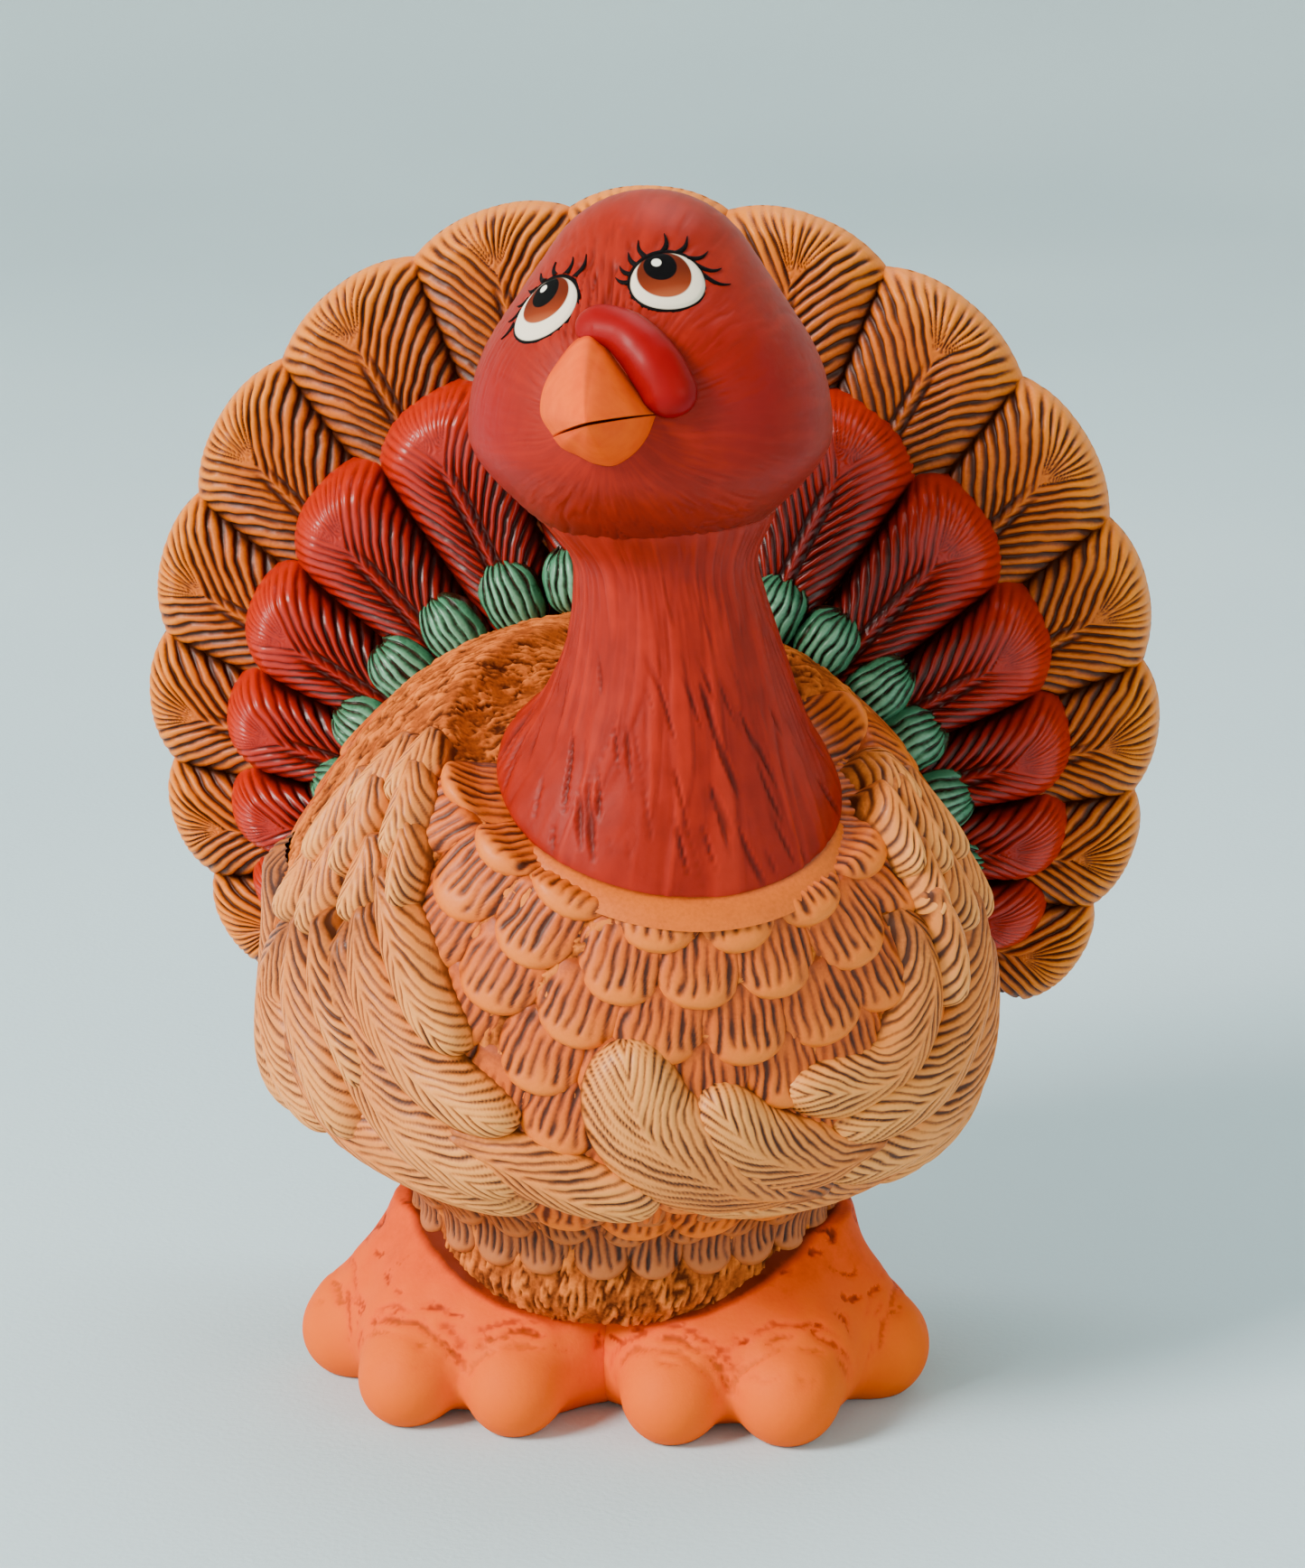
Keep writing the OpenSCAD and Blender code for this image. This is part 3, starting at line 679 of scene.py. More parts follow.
def scale_rows(pile, rows, pitch, width, length, top, keep, seed, pitch_line, deep, grid_size):
    """Rings of down-pointing scales: rows are tip heights, keep says which turns get one."""
    rng = np.random.default_rng(seed)
    for row, z in enumerate(rows):
        arc = arc_at(z)
        step = math.degrees(pitch / np.interp(arc, ARC, RADIUS))
        n = round(360 / step)
        for i in range(n):
            turn = (i + 0.5 * (row % 2)) * 360 / n - 180 + rng.uniform(-1, 1)
            lean = rng.uniform(-1.5, 1.5)
            if not keep(turn):
                continue
            high, mid = np.interp([arc + length, arc + length / 2], ARC, HEIGHT)
            path = [(turn - lean, high), (turn, mid), (turn + lean, z)]
            leaf(pile, path, width * rng.uniform(0.94, 1.06), top, grid_size, grid_size, seed + row * 37 + i,
                 kind="scale", blunt=4.0, root=0.75, pitch=pitch_line, deep=deep, tint=0.4)


def make_skirt_and_back(tan, skirt_paint):
    """Skirt rings above the feet, mantle scales behind the wings and the rump."""
    skirt = Pile()
    scale_rows(skirt, [37.0, 45.5, 54.0, 62.5], 12.5, 15.5, 17, (0.0, 2.2),
               lambda turn: abs(turn) < 128, 200, 1.85, 0.8, 34)
    finish_piece(skirt.object("skirt_scales"), skirt_paint, "body_tan", "skirt_feathers")
    mantle = Pile()
    scale_rows(mantle, [70, 82, 94, 106, 118, 129, 139], 15.5, 19, 21, (0.0, 2.4),
               lambda turn: 84 < abs(turn) < 133, 300, 2.0, 0.6, 28)
    finish_piece(mantle.object("mantle_scales"), tan, "body_tan", "mantle_feathers")
    rump = Pile()
    scale_rows(rump, [36, 48, 60, 72, 84, 96, 108, 120, 131, 141], 15.5, 19.5, 21, (0.0, 2.6),
               lambda turn: abs(turn) > 128, 500, 2.1, 0.7, 28)
    finish_piece(rump.object("rump_scales"), tan, "body_tan", "rump_feathers")


# ---------- wings

# Each feather: its path as turn and height on the body, width, and height above the wall at root and tip.
RIGHT_PRIMARIES = [
    ([(-96, 126), (-106, 104), (-103, 82), (-92, 64)], 23, (3.0, 6.0)),
    ([(-80, 124), (-92, 102), (-88, 80), (-74, 64)], 23, (4.0, 6.5)),
    ([(-62, 114), (-72, 92), (-65, 79), (-53, 69)], 19, (3.0, 5.5)),
    ([(-62, 92), (-48, 73), (-32, 66), (-9, 61)], 17, (4.0, 5.0)),
    ([(-24, 80), (-10, 73), (0, 68), (14, 64)], 17, (4.5, 6.5)),
    ([(-46, 119), (-42, 97), (-31, 79), (-10, 67)], 19, (5.5, 7.2)),
    ([(-56, 120), (-55, 98), (-49, 84), (-43, 71)], 15, (6.0, 8.0)),
    ([(-50, 121), (-46, 101), (-41, 93), (-37, 84)], 11, (7.2, 8.6)),
    ([(-41, 127), (-36, 106), (-26, 92), (-10, 82)], 17, (7.0, 8.4)),
    ([(-38, 133), (-31, 118), (-26, 107), (-19, 97)], 13, (8.0, 9.0))]
RIGHT_COVERTS = [
    ([(-60, 136), (-60, 126), (-64, 113)], 13, (4.0, 7.0)),
    ([(-53, 136), (-53, 126), (-54, 113)], 12, (5.0, 8.0)),
    ([(-43, 138), (-42, 130), (-43, 119)], 12, (6.0, 9.2)),
    ([(-36, 142), (-34, 133), (-32, 124)], 9, (6.5, 9.4)),
    ([(-56, 148), (-57, 139), (-58, 127)], 12, (5.0, 8.4)),
    ([(-49, 148), (-48, 138), (-48, 127)], 12, (6.0, 9.2)),
    ([(-41, 152), (-38, 144), (-37, 133)], 11, (6.0, 9.4)),
    ([(-50, 156), (-50, 149), (-52, 139)], 13, (4.0, 8.2)),
    ([(-43, 158), (-42, 152), (-42, 143)], 12, (4.0, 8.4))]
LEFT_PRIMARIES = [
    ([(100, 122), (108, 100), (104, 80), (92, 62)], 23, (3.0, 6.0)),
    ([(83, 103), (84, 84), (78, 68), (67, 56)], 19, (3.5, 7.0)),
    ([(80, 74), (63, 61), (36, 61), (15, 67)], 15, (4.0, 5.0)),
    ([(50, 62), (26, 69), (11, 83), (7, 103)], 27, (4.0, 8.2)),
    ([(56, 74), (42, 71), (29, 77), (20, 91)], 20, (4.6, 7.0)),
    ([(81, 113), (86, 90), (70, 72), (43, 67)], 17, (5.5, 6.8)),
    ([(77, 124), (78, 102), (65, 84), (43, 77)], 17, (6.2, 7.4)),
    ([(60, 122), (62, 103), (54, 88), (34, 88)], 17, (4.6, 5.6)),
    ([(64, 126), (67, 112), (67, 98)], 9, (8.0, 8.6))]
LEFT_COVERTS = [
    ([(80, 133), (81, 124), (82, 111)], 12, (5.0, 8.0)),
    ([(73, 132), (73, 123), (73, 112)], 11, (6.0, 8.6)),
    ([(67, 135), (66, 127), (65, 117)], 9, (6.5, 8.8)),
    ([(79, 146), (79, 137), (79, 125)], 12, (5.0, 8.4)),
    ([(72, 146), (71, 136), (70, 125)], 11, (6.0, 9.0)),
    ([(66, 148), (65, 138), (63, 127)], 9, (6.0, 8.6)),
    ([(73, 154), (73, 146), (73, 138)], 13, (4.0, 8.0))]


def make_wing(side, primaries, coverts, cream):
    """One folded wing: long feathers lapped in order, and short coverts over the shoulder."""
    long_ones, short_ones = Pile(), Pile()
    seed = 600 if side == "left" else 700
    for k, feather in enumerate(primaries):
        leaf(long_ones, *feather, 112, 62, seed + k, blunt=7, root=0.5, pitch=4.4, deep=0.65, sweep=2.9)
    for k, feather in enumerate(coverts):
        leaf(short_ones, *feather, 70, 50, seed + 40 + k, blunt=4, root=0.6, pitch=3.2, tint=0.6, sweep=2.6)
    blades = long_ones.object(f"wing_{side}_primary_blades")
    finish_piece(blades, cream, "wing_cream", f"wing_primaries_{side}")
    blades = short_ones.object(f"wing_{side}_covert_blades")
    finish_piece(blades, cream, "wing_cream", f"wing_coverts_{side}")


# ---------- neck

def make_neck(red):
    """A bell that spreads from the chin to its rolled hem on the body, carved with long wavy furrows."""
    s, a = ring_grid(count(250), count(330))
    s = 1.04 * s - 0.04                      # below 0 the hem rolls under, towards the body
    up = np.clip(s, 0, 1)
    chin_flare = 7.0 * smooth(up, 0.74, 1.0) ** 1.5 - 3 * smooth(up, 0.965, 1.0)
    radius = NECK_R + (HEM_R - NECK_R) * (1 - up) ** 2.1 + chin_flare
    hem_roll = np.clip(1 - (s + 0.04) / 0.075, 0, 1)
    radius = radius - 1.0 - 4.2 * hem_roll ** 2.6 + 1.2 * smooth(s, 0.25, 0.04)
    tilt = HEM_TILT * (1 - up) ** 1.6
    x = radius * np.cos(a)
    y = radius * np.sin(a) * np.cos(tilt)
    z = radius * np.sin(a) * np.sin(tilt)
    below = 100 * np.minimum(s, 0)
    y = y - below * math.sin(HEM_TILT)
    z = z + below * math.cos(HEM_TILT)
    mid = HEM + (CHIN - HEM) * up[..., None] + NECK_BOW * np.sin(math.pi * up)[..., None]
    turn = (math.cos(HEM_TURN), math.sin(HEM_TURN))
    base = mid + np.stack([x * turn[0] - y * turn[1], x * turn[1] + y * turn[0], z], -1)

    along = s * 62
    ring = np.stack([np.cos(a) * 9, np.sin(a) * 9, along / 20], -1)
    wave = noise(ring * 0.55, 21)
    lean = 0.42 * smooth(s, 0.6, 0.0)
    lane = np.cos(a + lean * 0.6 * wave), np.sin(a + lean * 0.6 * wave)
    long_furrow = noise(np.stack([lane[0] * 9.5 + 0.35 * wave, lane[1] * 9.5, along / 26], -1), 22)
    fine = noise(np.stack([lane[0] * 19, lane[1] * 19, along / 9], -1), 23)
    gash = noise(np.stack([np.cos(a + along / 70) * 17, np.sin(a + along / 70) * 17, along / 13], -1), 24)
    furrow = np.exp(-(long_furrow / 0.13) ** 2) * smooth(s, 0.03, 0.18) * smooth(s, 1.0, 0.9)
    gashes = smooth(gash, 0.30, 0.62) * smooth(s, 0.0, 0.05) * smooth(s, 0.62, 0.4)
    relief = 0.3 * long_furrow - 0.35 * furrow * (0.4 + 0.6 * np.abs(fine)) - 0.7 * gashes + 0.14 * fine
    relief *= smooth(s, -0.04, 0.03)
    pile = Pile()
    # Darker stain in the furrows and gashes.
    stain_and_shade = 0.18 * furrow * (0.4 + 0.6 * np.abs(fine)) + 0.42 * gashes
    paint = np.clip(0.88 - stain_and_shade + 0.12 * long_furrow, 0, 1)
    # Painted highlight: the ridges on the lower neck are tinted lighter.
    ridge_highlight = smooth(long_furrow, 0.1, 0.7) * smooth(s, 0.5, 0.0)
    pile.add(base + normals(base, True) * relief[..., None], close=True, paint=paint, tip=ridge_highlight, blush=0.0)
    finish_piece(pile.object("neck_bell"), red, "head_red", "neck")


# ---------- head

def head_gap(p):
    """Distance from points to the head: a round cone from the cheeks to the crown."""
    ba = CROWN - CHEEK
    l2 = ba @ ba
    rr = CHEEK_R - CROWN_R
    a2 = l2 - rr * rr
    pa = p - CHEEK
    y = pa @ ba
    z = y - l2
    x2 = ((pa * l2 - y[..., None] * ba) ** 2).sum(-1)
    y2, z2 = y * y * l2, z * z * l2
    k = rr * rr * x2
    side = (np.sqrt(x2 * a2 / l2) + y * rr) / l2 - CHEEK_R
    low = np.sqrt(x2 + y2) / l2 - CHEEK_R
    high = np.sqrt(x2 + z2) / l2 - CROWN_R
    return np.where(np.sign(z) * a2 * z2 > k, high, np.where(np.sign(y) * a2 * y2 < k, low, side))


def head_slope(p):
    """Outward direction of the head's surface at points."""
    step = 0.05
    moves = np.eye(3) * step
    return unit(np.stack([head_gap(p + m) - head_gap(p - m) for m in moves], -1))


def onto_head(p, lift=0.0):
    """Points moved straight onto the head's surface, lifted off it."""
    for _ in range(4):
        p = p - head_slope(p) * (head_gap(p) - lift)[..., None]
    return p


FACE = unit(BEAK_TIP - CHEEK - (0, 0, 9))          # the way the beak points


def make_head(red):
    """The head, on a grid that spreads from the beak so that its fine hairs flow away from the face."""
    s, a = ring_grid(count(256), count(384))
    side = unit(np.cross(FACE, (0, 0, 1.0)))
    rise = np.cross(side, FACE)
    polar = 0.02 + (math.pi - 0.04) * s
    aim = (FACE * np.cos(polar)[..., None]
           + (side * np.cos(a)[..., None] + rise * np.sin(a)[..., None]) * np.sin(polar)[..., None])
    start = CHEEK + (CROWN - CHEEK) * 0.25
    far = np.full(polar.shape, 20.0)
    for _ in range(24):
        far = far - head_gap(start + aim * far[..., None])
    base = start + aim * far[..., None]
    under = np.maximum(CHEEK[2] - base[..., 2], 0)
    base[..., 2] += (1 - JAW_DEPTH) * under
    taper = 1 - 0.1 * smooth(under / CHEEK_R, 0.05, 0.65)
    base[..., :2] = CHEEK[:2] + (base[..., :2] - CHEEK[:2]) * taper[..., None]

    warp = noise(base / 13, 31)
    lane_x = np.cos(a) * 17 + 0.9 * warp
    lane_y = np.sin(a) * 17 + 0.9 * warp
    hair = noise(np.stack([lane_x, lane_y, polar * 2.6], -1), 32)
    fine = noise(np.stack([lane_x * 2.1, lane_y * 2.1, polar * 4], -1), 33)
    brow_at = onto_head(np.array([[2.5, -60.0, 263.0]]))[0]
    brow = np.exp(-(np.linalg.norm(base - brow_at, axis=-1) / 15) ** 4)
    # Painted shade: jaw darkens the underside of the head, above the neck.
    jaw = smooth(base[..., 2], 216, 205) * 0.8
    upright = noise(base * (0.6, 0.05, 0.07) + 0.3 * warp[..., None], 34)
    cheek_right = onto_head(np.array([[-21.0, -55.0, 232.0]]))[0]
    smile = np.exp(-(np.linalg.norm(base - cheek_right - (2, 0, 8), axis=-1) / 12) ** 2)
    rings = noise(np.stack([np.cos(a) * 2.5, np.sin(a) * 2.5, polar * 19 + 0.6 * warp], -1), 35)
    furrow = np.exp(-(hair / 0.14) ** 2) * (1 - brow) * (1 - smile)
    furrow = furrow + np.exp(-(upright / 0.13) ** 2) * brow + np.exp(-(rings / 0.15) ** 2) * smile
    depth = (0.18 + 0.5 * brow + 0.25 * smile + 0.3 * jaw) * (0.35 + 0.65 * np.maximum(np.abs(fine), brow))
    relief = (0.06 * fine * (1 - brow) - furrow * depth) * smooth(polar, 0.3, 0.5)
    cheek_left = onto_head(np.array([[33.0, -60.0, 240.0]]))[0]
    blush = np.maximum(np.exp(-(np.linalg.norm(base - cheek_right, axis=-1) / 15) ** 2),
                       0.85 * np.exp(-(np.linalg.norm(base - cheek_left, axis=-1) / 15) ** 2))
    # Darker in the furrows as stain, and through jaw darker under the head as painted shade.
    stain_and_shade = furrow * (0.12 + 0.5 * brow + 0.3 * jaw) * (0.3 + 0.7 * np.abs(fine))
    paint = np.clip(0.84 - stain_and_shade - 0.3 * jaw + 0.08 * hair, 0, 1)
    pile = Pile()
    # The crown is tinted lighter through tip, as a painted highlight.
    pile.add(base + normals(base, True) * relief[..., None], close=True, paint=paint,
             tip=0.35 * smooth(base[..., 2], 250, 268), blush=blush)
    finish_piece(pile.object("head_skin"), red, "head_red", "head")


def red_paint():
    """Brick red with crimson cheeks."""
    paint = Paint("head_paint", 0.46, 0.0, 0.16)
    level = paint.clouded(paint.value("paint"), 5.0, 0.25)
    colour = paint.ramp(level, (0.1, srgb(60, 8, 2)), (1.0, srgb(166, 31, 7)), (0.5, srgb(104, 15, 3)),
                        (0.8, srgb(138, 22, 4)))
    colour = paint.tinted(colour, "tip", 0.3, srgb(184, 46, 18))
    colour = paint.tinted(colour, "blush", 0.85, srgb(146, 4, 8))
    return paint.finish(colour, 0.05, 1.4)


# ---------- beak and snood

# Where each half of the beak meets the face, from its right corner over the crest or chin to its left.
BEAK_ARCH = [(-6.0, -71.2, 230.4), (-8.9, -69.6, 234.6), (-8.6, -68.4, 240.0), (-5.6, -66.6, 245.8),
             (-1.6, -65.0, 250.2), (1.2, -65.0, 251.6), (4.2, -66.4, 250.0), (7.6, -69.4, 246.6),
             (11.6, -72.0, 242.0), (16.4, -73.6, 236.4)]
BEAK_JAW = [(-6.0, -71.2, 230.4), (-4.2, -72.2, 228.6), (-0.6, -73.4, 227.2), (3.6, -74.4, 225.6),
            (7.8, -74.8, 225.6), (11.8, -74.4, 227.8), (14.8, -74.0, 231.6), (16.4, -73.6, 236.4)]
# The snood's middle line, from over the beak down its left side.
SNOOD_PATH = [(-1.6, -65.4, 252.0), (2.6, -66.0, 254.6), (8.0, -68.0, 253.8), (13.0, -70.6, 250.2),
              (17.0, -72.8, 245.2), (19.4, -73.8, 240.4), (20.2, -74.0, 236.4)]


def beak_half(arch, tip, mouth_drop, round_off, ridge, fat):
    """A beak half: the arch on the face shrinks along a curve to the tip; its open side is the mouth line.

    round_off and fat shape that curve, ridge is the height of the keel and mouth_drop bows the mouth line.
    """
    v, u = grid(count(70), count(110))
    v = v ** 0.8
    line = through(arch, u[0])
    start = (line[0] + line[-1]) / 2
    inside = start - FACE * 4
    centre = inside + (tip - inside) * v[..., None]
    size = (1 - v ** round_off) ** fat
    rim = line - start
    points = centre + rim * size[..., None]
    middle = np.exp(-((u - 0.5) / 0.07) ** 2) * ridge * np.sin(math.pi * v)
    points = points + unit(rim)[None] * middle[..., None]
    floor = np.linspace(0, 1, 14)[None, :, None]
    closing = points[:, -1:] * (1 - floor) + points[:, :1] * floor
    sink = np.sin(math.pi * floor) * mouth_drop * (1 - v[:, :1, None])
    closing = closing + np.array([0, 0, 1.0]) * sink
    return np.concatenate([points, closing[:, 1:-1]], axis=1)


def make_beak():
    """Orange beak in two halves with a dark mouth line."""
    paint = Paint("beak_paint", 0.55, 0.0, 0.07)
    level = paint.clouded(paint.value("paint"), 4.0, 0.5)
    colour = paint.ramp(level, (0.0, srgb(96, 26, 0)), (1.0, srgb(242, 93, 0)), (0.35, srgb(176, 50, 0)),
                        (0.7, srgb(224, 72, 0)))
    orange = paint.finish(colour, 0.04, 1.6)
    upper, lower = Pile(), Pile()
    points = beak_half(BEAK_ARCH, BEAK_TIP, 1.0, 1.55, 0.7, 0.8)
    shade = smooth(points[..., 1], -67.5, -71) * 0.25 + 0.65
    upper.add(points, close=True, paint=shade)
    mouth_gap = np.array([0, 0, 0.2])
    points = beak_half(BEAK_JAW, BEAK_TIP + (0.1, 2.4, -0.9), 0.0, 1.7, 0.2, 0.85) - mouth_gap
    shade = smooth(points[..., 1], -68.5, -74) * 0.3 + 0.5
    lower.add(points, flip=True, close=True, paint=shade)
    finish_piece(upper.object("beak_upper_shell"), orange, "beak_orange", "beak_upper")
    finish_piece(lower.object("beak_lower_shell"), orange, "beak_orange", "beak_lower")


def make_snood():
    """A crimson wattle that starts over the beak and hangs down its left side."""
    paint = Paint("snood_paint", 0.42, 0.05, 0.1)
    level = paint.math("MULTIPLY_ADD", paint.grain(6.0), 0.3, paint.value("paint"))
    colour = paint.ramp(level, (0.1, srgb(70, 1, 4)), (1.0, srgb(140, 0, 6)), (0.6, srgb(112, 0, 4)))
    crimson = paint.finish(colour, 0.03, 2.0)
    s, a = ring_grid(count(120), count(64))
    mid = onto_head(through(SNOOD_PATH, s[:, 0]), 0.8)
    run = unit(np.gradient(mid, axis=0))
    out = head_slope(mid)
    across = np.cross(run, out)
    swell = 4.4 + 1.4 * smooth(s, 0.1, 0.7)
    first = np.sqrt(1 - np.clip(1 - s / 0.16, 0, 1) ** 2)
    last = np.sqrt(1 - np.clip((s - 0.84) / 0.16, 0, 1) ** 2)
    wide = swell * first * last
    tall = swell * first * last * (0.45 + 0.4 * smooth(s, 0.0, 0.5))
    points = mid[:, None] + across[:, None] * (wide * np.cos(a))[..., None]
    points = points + out[:, None] * (tall * np.sin(a))[..., None]
    dent = 0.12 * noise(points / 5, 51)
    points = points + normals(points, True) * dent[..., None]
    pile = Pile()
    # Painted light and shade: lighter on the side facing away from the head, darker towards it.
    pile.add(points, flip=True, close=True, paint=0.35 + 0.5 * smooth(np.sin(a), -0.4, 0.9))
    finish_piece(pile.object("snood_wattle"), crimson, "snood_crimson", "snood")


# ---------- eyes

class Eye:
    """One painted eye: local x runs towards the bird's left, local y up the brow, in millimetres.

    over points along local x, half is the white's half width and height, iris, pupil and glint are
    (middle, half sizes) in local x and y, and each lash is its (root, tip).
    """

    def __init__(self, name, centre, over, half, iris, pupil, glint, lashes):
        self.name = name
        self.centre = onto_head(np.array([centre]))[0]
        normal = head_slope(self.centre[None])[0]
        over = np.array(over, float)
        self.right = unit(over - normal * (over @ normal))
        self.up = np.cross(normal, self.right)
        self.half, self.iris, self.pupil, self.glint, self.lashes = half, iris, pupil, glint, lashes

    def spot(self, x, y, lift):
        """Points on the head at local x and y, lifted off it."""
        flat = self.centre + self.right * np.asarray(x)[..., None] + self.up * np.asarray(y)[..., None]
        return onto_head(flat, lift)


def zone(x, y, middle, size):
    """Distance from an ellipse's middle, 1 on its edge."""
    return np.hypot((x - middle[0]) / size[0], (y - middle[1]) / size[1])


def eye_paint():
    """White, brown iris with a paler lower rim, black pupil, white glint and black outline."""
    paint = Paint("eye_paint", 0.6, 0.0, 0.06)

    def inside(name, soft=0.03):
        """1 inside the named ellipse, 0 outside, with a soft edge; limited() clips the rest."""
        return paint.math("MULTIPLY", paint.math("SUBTRACT", 1 + soft, paint.value(name)), 1 / (2 * soft))

    def limited(value):
        return paint.math("MINIMUM", paint.math("MAXIMUM", value, 0.0), 1.0)

    iris = paint.ramp(paint.value("low"), (0.0, srgb(92, 30, 12)), (1.0, srgb(156, 78, 46)),
                      (0.6, srgb(124, 46, 20)))
    colour = paint.mix(limited(inside("iris")), srgb(246, 228, 204), iris)
    colour = paint.mix(limited(inside("pupil")), colour, srgb(5, 4, 5))
    colour = paint.mix(limited(inside("glint", 0.1)), colour, srgb(250, 244, 226))
    colour = paint.mix(limited(inside("white", 0.02)), srgb(8, 5, 6), colour)
    return paint.finish(colour, 0.02, 1.5)


LEFT_EYE = dict(
    name="eye_left", centre=(16.6, -56.3, 261.1), over=(15.3, 6.5, 1.7), half=(8.0, 6.9),
    iris=((-0.5, 1.6), (5.7, 5.9)), pupil=((-0.8, 3.7), (3.4, 3.6)), glint=((-1.3, 4.7), (1.0, 1.0)),
    lashes=[((-7.9, 2.1), (-10.6, 4.4)), ((-6.9, 3.9), (-9.0, 6.9)), ((-5.1, 5.6), (-6.2, 9.4)),
            ((-2.7, 6.9), (-3.3, 11.6)), ((0.4, 7.2), (2.4, 11.8)), ((3.2, 6.6), (7.2, 10.6)),
            ((5.4, 5.3), (11.2, 6.8)), ((7.4, 3.2), (13.6, 2.7)), ((8.2, 0.8), (14.8, -1.2))])
RIGHT_EYE = dict(
    name="eye_right", centre=(-9.4, -55.2, 254.6), over=(14.8, -8.5, 6.1), half=(8.2, 7.7),
    iris=((0.2, 2.0), (5.9, 6.0)), pupil=((-0.3, 4.0), (3.4, 3.9)), glint=((-1.2, 5.2), (0.9, 0.95)),
    lashes=[((5.9, 7.0), (7.6, 12.4)), ((3.2, 8.3), (4.2, 12.4)), ((0.4, 8.8), (-0.8, 12.6)),
            ((-2.6, 8.4), (-5.2, 11.4)), ((-5.0, 7.0), (-8.0, 8.0)), ((-6.9, 5.0), (-10.4, 4.6)),
            ((-8.1, 2.6), (-11.6, 0.8)), ((-8.8, -0.6), (-12.4, -3.6))])


def lash(eye, root, tip):
    """Points of one lash: a low stroke that bows upwards and thins to its tip."""
    s, t = grid(count(26), 9)
    t = 2 * t - 1
    root, tip = np.array(root), np.array(tip)
    run = tip - root
    across = unit(np.array([-run[1], run[0]]))
    bow = 0.16 * np.linalg.norm(run) * np.sin(math.pi * s) * (-1 if across[1] > 0 else 1)
    wide = 0.68 * (1 - s) ** 0.7 + 0.08
    x = root[0] + run[0] * s + across[0] * (bow + t * wide)
    y = root[1] + run[1] * s + across[1] * (bow + t * wide)
    return eye.spot(x, y, -0.1 + 0.42 * np.sqrt(1 - t * t * 0.99))


def make_eyes():
    """Both eyes with their outlines and lashes."""
    enamel = eye_paint()
    black = Paint("lash_paint", 0.6, 0.0, 0.06)
    soot = black.ramp(black.grain(2.0), (0.2, srgb(6, 4, 5)), (0.9, srgb(18, 12, 13)))
    lash_black = black.finish(soot, 0.02, 1.0)
    for eye in (Eye(**LEFT_EYE), Eye(**RIGHT_EYE)):
        pile = Pile()
        s, a = ring_grid(count(70), count(140))
        outline = 0.6 + 0.65 * np.clip(np.sin(a), 0, 1) + 0.25 * np.clip(-np.sin(a + 0.6), 0, 1)
        x = s * (eye.half[0] + outline) * np.cos(a)
        y = s * (eye.half[1] + outline) * np.sin(a)
        white = zone(x, y, (0, 0), eye.half)
        rim_groove = 0.22 * np.exp(-((white - 1) / 0.06) ** 2)
        lift = -0.25 + 1.0 * np.sqrt(np.clip(1 - s ** 4, 0, 1)) - rim_groove
        pile.add(eye.spot(x, y, lift), flip=True, close=True, iris=zone(x, y, *eye.iris),
                 pupil=zone(x, y, *eye.pupil), glint=zone(x, y, *eye.glint), white=white,
                 low=smooth(y, 3.5, -5.0))
        finish_piece(pile.object(eye.name + "_enamel"), enamel, "eye_paint", eye.name)
        hairs = Pile()
        for root, tip in eye.lashes:
            hairs.add(lash(eye, root, tip), flip=True)
        finish_piece(hairs.object(eye.name + "_lashes"), lash_black, "eye_paint")


# ---------- feet

def net(field, low, step):
    """Surface nets: the zero surface of a sampled field as smooth quads."""
    inside = field < 0
    nx, ny, nz = field.shape
    total = np.zeros((nx - 1, ny - 1, nz - 1, 3))
    hits = np.zeros((nx - 1, ny - 1, nz - 1))
    corner = [(i, j, k) for i in (0, 1) for j in (0, 1) for k in (0, 1)]
    for p in corner:
        for axis in range(3):
            if p[axis]:
                continue
            q = tuple(1 if n == axis else p[n] for n in range(3))
            a = field[p[0]:nx - 1 + p[0], p[1]:ny - 1 + p[1], p[2]:nz - 1 + p[2]]
            b = field[q[0]:nx - 1 + q[0], q[1]:ny - 1 + q[1], q[2]:nz - 1 + q[2]]
            crosses = (a < 0) != (b < 0)
            f = np.where(crosses, a / np.where(crosses, a - b, 1), 0)
            spot = np.stack([p[n] + (f if n == axis else 0 * f) for n in range(3)], -1)
            total += spot * crosses[..., None]
            hits += crosses
    active = hits > 0
    index = np.full(active.shape, -1)
    index[active] = np.arange(active.sum())
    cells = np.argwhere(active)
    verts = low + (cells + total[active] / hits[active][:, None]) * step
    faces = []
    for axis in range(3):
        u, v = (axis + 1) % 3, (axis + 2) % 3
        ahead = [slice(None)] * 3
        behind = [slice(None)] * 3
        ahead[axis], behind[axis] = slice(1, None), slice(None, -1)
        change = inside[tuple(ahead)].astype(int) - inside[tuple(behind)].astype(int)
        at = np.argwhere(change != 0)
        edge_u, edge_v = field.shape[u] - 1, field.shape[v] - 1
        at = at[(at[:, u] > 0) & (at[:, v] > 0) & (at[:, u] < edge_u) & (at[:, v] < edge_v)]
        sign = change[tuple(at.T)]
        ring = []
        for du, dv in ((1, 1), (0, 1), (0, 0), (1, 0)):
            c = at.copy()
            c[:, u] -= du
            c[:, v] -= dv
            ring.append(index[tuple(c.T)])
        quad = np.stack(ring, -1)
        quad[sign > 0] = quad[sign > 0][:, ::-1]
        faces.append(quad)
    return verts, np.concatenate(faces)


def blob(p, a, b, ra, rb):
    """Distance to a tapered capsule."""
    a, b = np.array(a, float), np.array(b, float)
    ba = b - a
    h = np.clip(((p - a) @ ba) / (ba @ ba), 0, 1)
    return np.linalg.norm(p - a - h[..., None] * ba, axis=-1) - (ra + (rb - ra) * h)


def join(a, b, soft):
    """Union of two fields with a soft fillet."""
    h = np.clip(0.5 + 0.5 * (b - a) / soft, 0, 1)
    return b + (a - b) * h - soft * h * (1 - h)


